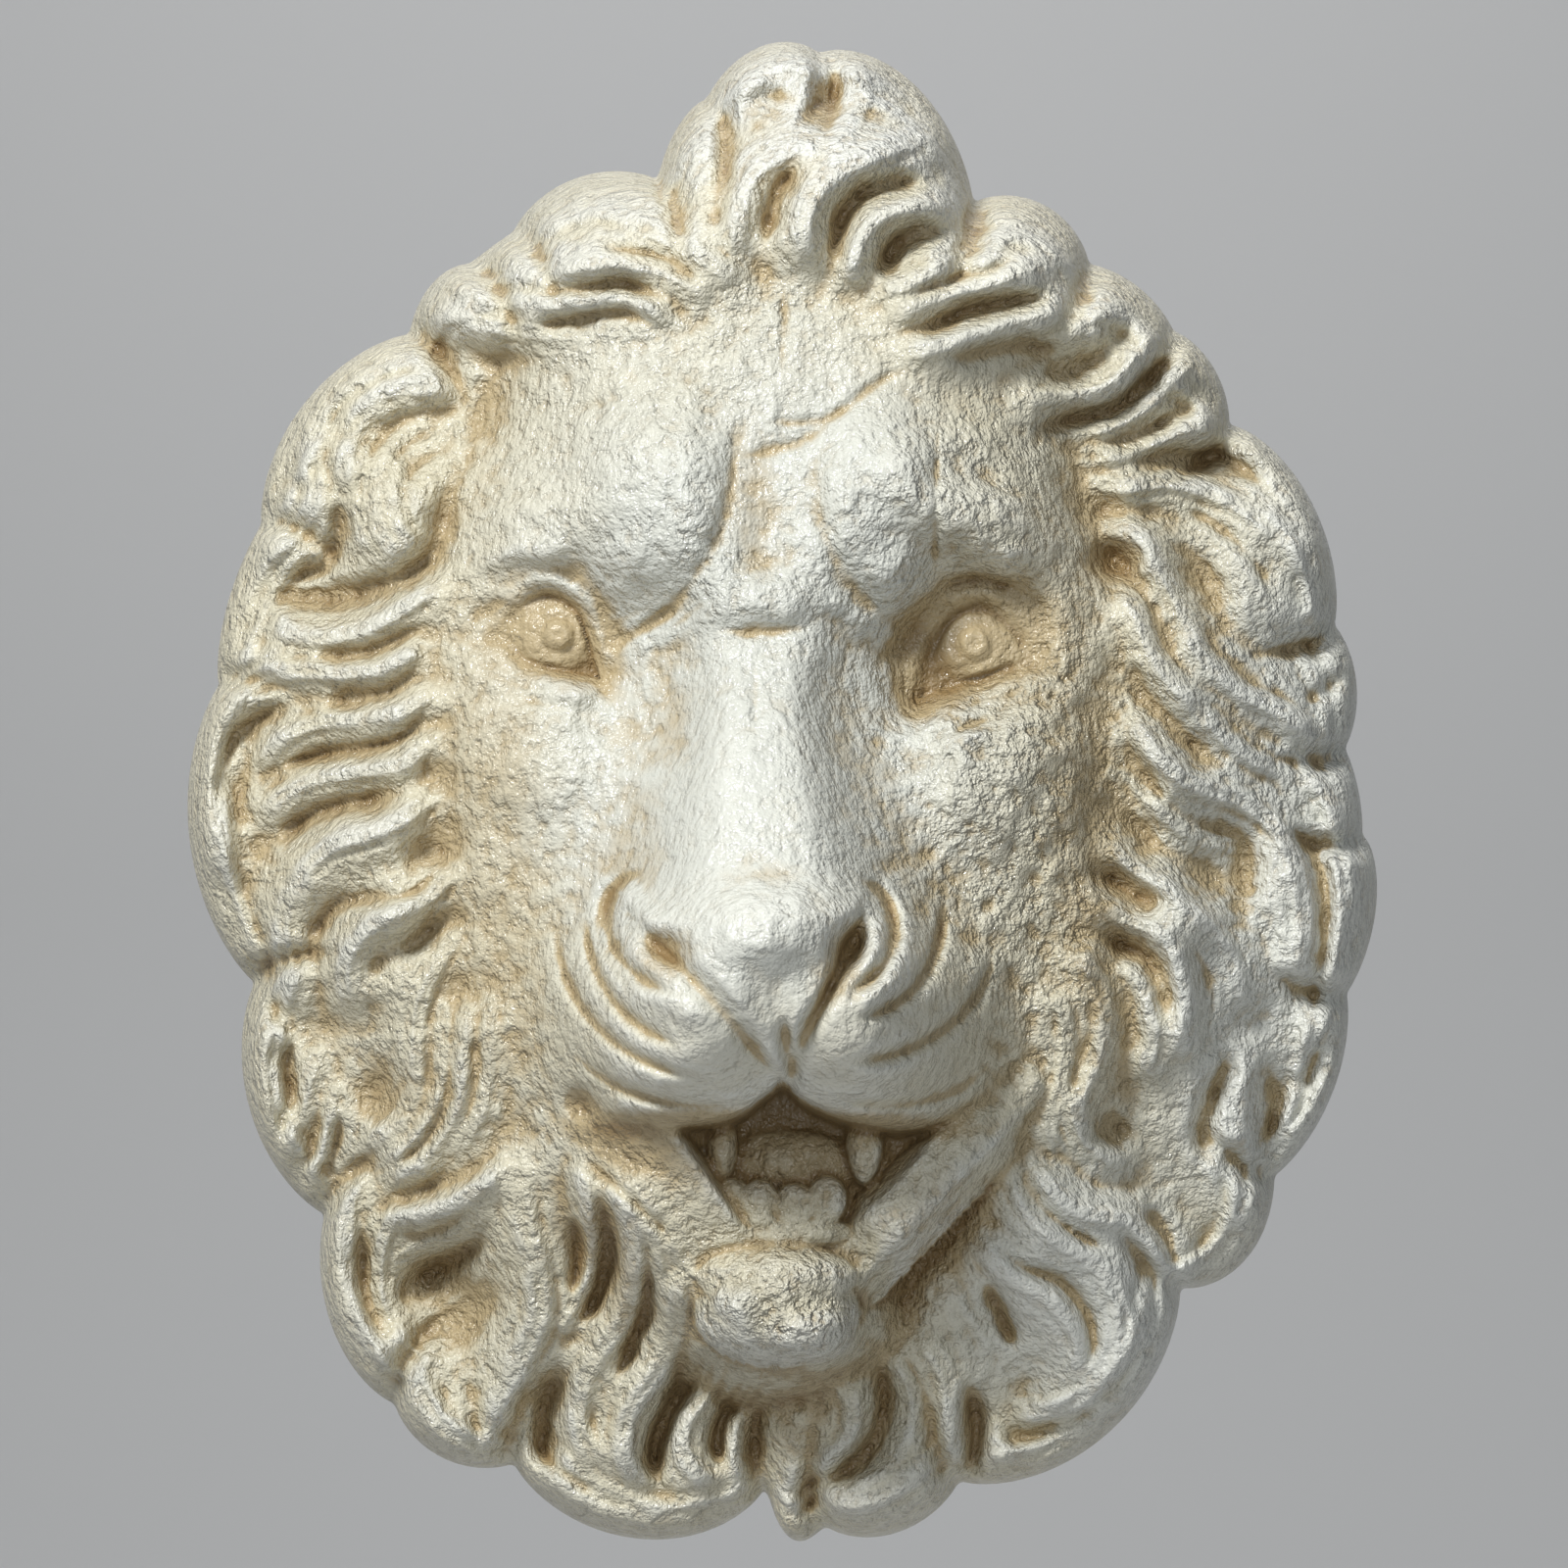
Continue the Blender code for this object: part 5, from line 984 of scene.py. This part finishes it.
# Where the paint is cooler and whiter: on the face this is a painted cool highlight, and on the right
# and lower right of the mane it is painted light.
PALE_AND_LIT_PLACES = (
    (-8, 30, 62, 110, 0, 0.9, 1.6), (150, -20, 44, 130, 0, 0.6, 1.5), (84, -142, 38, 40, 0, 0.6, 1.4),
)
# Where the paint is whiter still: painted light on the right and lower right of the mane, and a
# whiter crown.
WHITENED_AND_LIT_PLACES = (
    (84, -142, 36, 38, 0, 0.8, 1.5), (150, -30, 30, 110, 0, 0.6, 1.5), (124, -80, 24, 36, 0, 0.6, 1.5),
    (8, 196, 30, 20, 0, 0.9, 1.5),
)

# %% Hollow and proud places, with painted shade and painted light
BLURS = (1.3, 2.6, 9.0)                    # reach of each blur, in carving units
HOLLOW_SHARES = (0.5, 0.22, 0.075)         # what each blur gives to hollow
PROUD_SHARES = (0.0, 0.3, 0.06)            # and to proud
WASH_FADE = 10.0                           # distance from the rim over which both come in

grid_x, grid_z = (side.ravel() for side in np.meshgrid(RASTER_X, RASTER_Z, indexing="ij"))
height = np.where(inside_rim(grid_x, grid_z) > 0.0, surface_depth(grid_x, grid_z), 0.0)
height = height.reshape(len(RASTER_X), len(RASTER_Z))
depth_at = -points[:, 1] / DEPTH_UNIT
at_x, at_z = points[:, 0] / (UNIT * lean(depth_at)), points[:, 2] / (UNIT * lean(depth_at))
below = [sampled(blurred(height, reach), at_x, at_z) - depth_at for reach in BLURS]
inside = ease(inside_rim(at_x, at_z) / WASH_FADE)
hollow_and_shade = inside * np.clip(sum(s * b for s, b in zip(HOLLOW_SHARES, below)), 0.0, 2.0)
# The listed places add painted shade, and painted light where they are below nought.
hollow_and_shade = np.clip(with_masses(hollow_and_shade, at_x, at_z, WASH_AND_SHADE_PLACES), 0.0, None)
# Raised parts turn whiter: partly wash wiped off, partly a painted highlight; the listed places add
# painted light.
proud_and_lit = inside * np.clip(-sum(s * b for s, b in zip(PROUD_SHARES, below)), 0.0, 1.0)
proud_and_lit = with_masses(proud_and_lit, at_x, at_z, WHITENED_AND_LIT_PLACES)
# Cooler paint: on the face a painted cool highlight, on the right of the mane painted light.
pale_and_lit = np.max([mass(at_x, at_z, *place) for place in PALE_AND_LIT_PLACES], axis=0)
coarse = np.clip(roughness_of(at_x, at_z), 0.0, 2.0)
carved = ease(depth_at / RIM_WALL)
for name, values in (("hollow_and_shade", hollow_and_shade), ("proud_and_lit", proud_and_lit), ("pale_and_lit", pale_and_lit), ("coarse", coarse)):
    keep_attribute(casting.data, name, carved * values)

# %% [markdown]
# The paint is ivory, cooler and whiter where it stands out, with the ochre wash in the hollows and a
# thin varnish over all. The whiter colour on raised parts is partly a painted highlight, the cooler
# paint on the face is a painted cool highlight and on the right of the mane painted light, and the
# wash is deepened into painted shade in the mouth, the eye sockets, under the muzzle and on the head's
# flanks. One Principled shader carries it. Under it a bump adds what is too fine for the mesh: grains
# and pinholes of the casting, and upright brush strokes all over.

# %% Node helpers
def node(tree, kind, at, **settings):
    """a node of that kind at a place in the node editor"""
    made = tree.nodes.new(kind)
    made.location = at
    for name, value in settings.items():
        setattr(made, name, value)
    return made


def feed(tree, socket, value):
    """links a socket to another one, or sets it to a plain value"""
    if isinstance(value, bpy.types.NodeSocket):
        tree.links.new(value, socket)
    else:
        socket.default_value = value


def noise(tree, at, vector, scale, detail, rough=0.55):
    """noise texture on the given coordinates"""
    made = node(tree, "ShaderNodeTexNoise", at)
    for name, value in (("Vector", vector), ("Scale", scale), ("Detail", detail), ("Roughness", rough)):
        feed(tree, made.inputs[name], value)
    return made.outputs["Fac"]


def maths(tree, at, operation, first, second=0.5, third=0.0):
    """one sum on values or sockets"""
    made = node(tree, "ShaderNodeMath", at, operation=operation)
    for socket, value in zip(made.inputs, (first, second, third)):
        feed(tree, socket, value)
    return made.outputs[0]


def spread(tree, at, value, low, high, to_low=0.0, to_high=1.0):
    """carries the range low to high over to another range by a smooth step, held at both ends"""
    made = node(tree, "ShaderNodeMapRange", at, interpolation_type="SMOOTHSTEP")
    names = ("Value", "From Min", "From Max", "To Min", "To Max")
    for name, number in zip(names, (value, low, high, to_low, to_high)):
        feed(tree, made.inputs[name], number)
    return made.outputs["Result"]


def mixed(tree, at, share, first, second):
    """mixes two colours by a share"""
    made = node(tree, "ShaderNodeMix", at, data_type="RGBA")
    for name, value in (("Factor", share), ("A", first), ("B", second)):
        feed(tree, made.inputs[name], value)
    return made.outputs["Result"]


def attribute(tree, at, name):
    """reads one of the numbers kept on the mesh"""
    return node(tree, "ShaderNodeAttribute", at, attribute_name=name).outputs["Fac"]


# %% The paint
# COOL_IVORY and WARM_IVORY are the paint's own tones. The white for raised parts is partly paint wiped
# clean, partly a painted highlight and painted light; the two wash colours also serve as painted shade
# where listed places deepen the wash.
COOL_IVORY = (0.64, 0.645, 0.585, 1.0)
WARM_IVORY = (0.64, 0.595, 0.45, 1.0)
PROUD_AND_LIT_WHITE = (0.715, 0.715, 0.655, 1.0)
OCHRE_WASH_AND_SHADE = (0.47, 0.375, 0.22, 1.0)
DARK_WASH_AND_SHADE = (0.28, 0.19, 0.085, 1.0)
# Waves of each noise in a metre: patches of cooler paint, rubbed places, coarse and fine grains.
PATCH_WAVES, WORN_WAVES, COARSE_WAVES, GRAIN_WAVES = 22.0, 95.0, 210.0, 480.0
VARNISH = {"Coat Weight": 0.6, "Coat Roughness": 0.12, "Specular IOR Level": 0.4}

paint = bpy.data.materials.new("ivory_paint_with_wash_painted_shade_and_light")
paint.use_nodes = True
tree = paint.node_tree
shader = tree.nodes["Principled BSDF"]
place = node(tree, "ShaderNodeTexCoord", (-1900, 0)).outputs["Object"]

# %% Where wash and painted shade, white and painted light, and cooler paint lie
patches = noise(tree, (-1600, 600), place, PATCH_WAVES, 2.0)
worn = noise(tree, (-1600, 400), place, WORN_WAVES, 3.0, 0.65)
grains = noise(tree, (-1600, -300), place, GRAIN_WAVES, 2.0, 0.65)
coarse_grains = noise(tree, (-1600, -500), place, COARSE_WAVES, 3.0, 0.65)
coarse = attribute(tree, (-1600, -1250), "coarse")
pinholes = spread(tree, (-1400, -500), coarse_grains, 0.30, 0.56)
pits_now = maths(tree, (-1450, 50), "SUBTRACT", 0.75, pinholes)
pits_now = maths(tree, (-1400, 150), "MULTIPLY", pits_now, coarse)
hollow_and_shade_now = maths(tree, (-1350, 350), "MULTIPLY_ADD", worn, 0.5, attribute(tree, (-1600, 200), "hollow_and_shade"))
hollow_and_shade_now = maths(tree, (-1200, 250), "MULTIPLY_ADD", pits_now, 0.35, hollow_and_shade_now)
# The ochre share is the wash with painted shade added in the listed places; the dark share beyond it is
# deeper wash in the cuts and painted shade in those places.
wash_and_shade = spread(tree, (-1000, 350), hollow_and_shade_now, 0.20, 1.05)
dark = spread(tree, (-1000, 150), hollow_and_shade_now, 1.15, 2.4)
# The white share: paint wiped clean on raised parts, partly a painted highlight, and painted light in the
# listed places.
white = spread(tree, (-1000, -50), attribute(tree, (-1600, -80), "proud_and_lit"), 0.15, 1.5)
# The cool share: random patches of cooler paint, and painted highlight and painted light in the listed
# places.
cool = maths(tree, (-1200, 550), "MULTIPLY_ADD", patches, 0.8, attribute(tree, (-1600, 800), "pale_and_lit"))
cool = spread(tree, (-1000, 550), cool, 0.30, 1.15)

# %% Colour and varnish
colour = mixed(tree, (-800, 500), cool, WARM_IVORY, COOL_IVORY)
colour = mixed(tree, (-650, 450), white, colour, PROUD_AND_LIT_WHITE)
colour = mixed(tree, (-500, 400), wash_and_shade, colour, OCHRE_WASH_AND_SHADE)
colour = mixed(tree, (-350, 350), dark, colour, DARK_WASH_AND_SHADE)
tree.links.new(colour, shader.inputs["Base Color"])
tree.links.new(spread(tree, (-500, 0), worn, 0.3, 0.7, 0.36, 0.56), shader.inputs["Roughness"])
for name, value in VARNISH.items():
    shader.inputs[name].default_value = value

# %% Grain, pinholes and brush strokes
STROKE_WAVES, STROKE_STRETCH = 380.0, (1.0, 1.0, 0.15)     # strokes are drawn out upright
BUMP_DISTANCE = 0.0020                     # metres that the bump's full height stands for

stretch = node(tree, "ShaderNodeMapping", (-1800, -1000))
stretch.inputs["Scale"].default_value = STROKE_STRETCH
tree.links.new(place, stretch.inputs["Vector"])
strokes = noise(tree, (-1600, -1000), stretch.outputs["Vector"], STROKE_WAVES, 1.0, 0.6)
height_now = maths(tree, (-1300, -350), "MULTIPLY_ADD", grains, 0.6, coarse_grains)
height_now = maths(tree, (-1100, -300), "MULTIPLY_ADD", pinholes, 0.3, height_now)
height_now = maths(tree, (-900, -400), "MULTIPLY", height_now, coarse)
height_now = maths(tree, (-700, -500), "MULTIPLY_ADD", strokes, 0.36, height_now)
bump = node(tree, "ShaderNodeBump", (-400, -400))
bump.inputs["Strength"].default_value = 1.0
bump.inputs["Distance"].default_value = BUMP_DISTANCE
tree.links.new(height_now, bump.inputs["Height"])
tree.links.new(bump.outputs["Normal"], shader.inputs["Normal"])
tree.links.new(bump.outputs["Normal"], shader.inputs["Coat Normal"])
casting.data.materials.clear()
casting.data.materials.append(paint)
print("paint nodes:", len(tree.nodes))

# %% [markdown]
# The plaque hangs clear of the floor. Behind and below it a pale sheet sweeps from floor to backdrop
# in one curve, far enough back that it doesn't hide the plaque's back from a camera behind.

# %% Floor and backdrop
FLOOR_Z, FLOOR_FRONT_Y, BACKDROP_Y, BACKDROP_TOP_Z = -1.3, -6.0, 3.4, 4.0
SWEEP_RADIUS, HALF_WIDTH = 1.2, 9.0
PAPER_GREY, PAPER_ROUGHNESS = (0.62, 0.62, 0.62, 1.0), 0.9


def sweep_profile():
    """floor, quarter circle and upright as points (y, z)"""
    turn = np.linspace(0.0, 0.5 * np.pi, 25)
    bend_y = BACKDROP_Y - SWEEP_RADIUS + SWEEP_RADIUS * np.sin(turn)
    bend_z = FLOOR_Z + SWEEP_RADIUS - SWEEP_RADIUS * np.cos(turn)
    return (np.concatenate([[FLOOR_FRONT_Y], bend_y, [BACKDROP_Y]]),
            np.concatenate([[FLOOR_Z], bend_z, [BACKDROP_TOP_Z]]))


line_y, line_z = sweep_profile()
count = len(line_y)
left = np.column_stack([np.full(count, -HALF_WIDTH), line_y, line_z])
right = left * (-1.0, 1.0, 1.0)
row = np.arange(count - 1)
strips = np.stack([row, row + count, row + count + 1, row + 1], axis=1)
backdrop_mesh = bpy.data.meshes.new("pale_sweep")
backdrop_mesh.from_pydata(np.vstack([left, right]), [], strips.tolist())
backdrop_mesh.shade_smooth()
backdrop = bpy.data.objects.new("pale_sweep", backdrop_mesh)
bpy.context.scene.collection.objects.link(backdrop)
sheet = bpy.data.materials.new("pale_paper")
sheet.use_nodes = True
sheet.node_tree.nodes["Principled BSDF"].inputs["Base Color"].default_value = PAPER_GREY
sheet.node_tree.nodes["Principled BSDF"].inputs["Roughness"].default_value = PAPER_ROUGHNESS
backdrop_mesh.materials.append(sheet)
print("sheet:", len(strips), "strips,", 2.0 * HALF_WIDTH, "m wide")

# %% [markdown]
# The photograph was taken square to the wall, level with the middle of the plaque and about as far
# away as an arm and a half. The lens follows from the width that the frame covers at the wall.

# %% Camera
CAMERA_HEIGHT = 0.0017     # above the plaque's middle, in metres
FRAME_WIDTH = 0.448        # width of the wall that the picture covers, in metres
SENSOR_WIDTH = 36.0        # in millimetres

camera_data = bpy.data.cameras.new("camera")
camera_data.sensor_width = SENSOR_WIDTH
camera_data.lens = SENSOR_WIDTH * DRAFT_DISTANCE / FRAME_WIDTH
camera = bpy.data.objects.new("camera", camera_data)
camera.location = (0.0, -DRAFT_DISTANCE, CAMERA_HEIGHT)
camera.rotation_euler = (0.5 * np.pi, 0.0, 0.0)
bpy.context.scene.collection.objects.link(camera)
bpy.context.scene.camera = camera
print("lens:", round(camera_data.lens, 1), "mm")

# %% [markdown]
# A broad soft light high on the left models the forms, a weaker one on the right opens the shadows,
# and a pale room fills the rest. Large lamps close by give the soft edges that the photograph shows.

# %% Lights
from mathutils import Vector

ON_PLAQUE, ON_BACKDROP = (0.0, -0.05, 0.0), (0.0, 3.0, 0.0)
ROOM_COLOUR, ROOM_STRENGTH = (0.80, 0.86, 0.92, 1.0), 0.17


def softbox(name, at, aim, size, watts, colour):
    """square lamp at a place, turned to face a point"""
    data = bpy.data.lights.new(name, "AREA")
    data.shape = "SQUARE"
    data.size = size
    data.energy = watts
    data.color = colour
    lamp = bpy.data.objects.new(name, data)
    lamp.location = at
    lamp.rotation_euler = (Vector(aim) - Vector(at)).to_track_quat("-Z", "Y").to_euler()
    bpy.context.scene.collection.objects.link(lamp)
    print(name + ":", watts, "W,", size, "m square")


softbox("key_light", at=(-0.75, -1.5, 1.15), aim=ON_PLAQUE, size=0.4, watts=40.5,
        colour=(1.0, 1.0, 0.98))
softbox("fill_light", at=(0.2, -2.0, 0.3), aim=ON_PLAQUE, size=1.2, watts=9.5,
        colour=(0.94, 0.97, 1.0))
softbox("backdrop_light", at=(0.0, 0.8, 2.2), aim=ON_BACKDROP, size=2.0, watts=45.0,
        colour=(1.0, 1.0, 1.0))
room = bpy.context.scene.world or bpy.data.worlds.new("room")
bpy.context.scene.world = room
room.use_nodes = True
room.node_tree.nodes["Background"].inputs["Color"].default_value = ROOM_COLOUR
room.node_tree.nodes["Background"].inputs["Strength"].default_value = ROOM_STRENGTH
bpy.context.scene.view_settings.view_transform = "Standard"
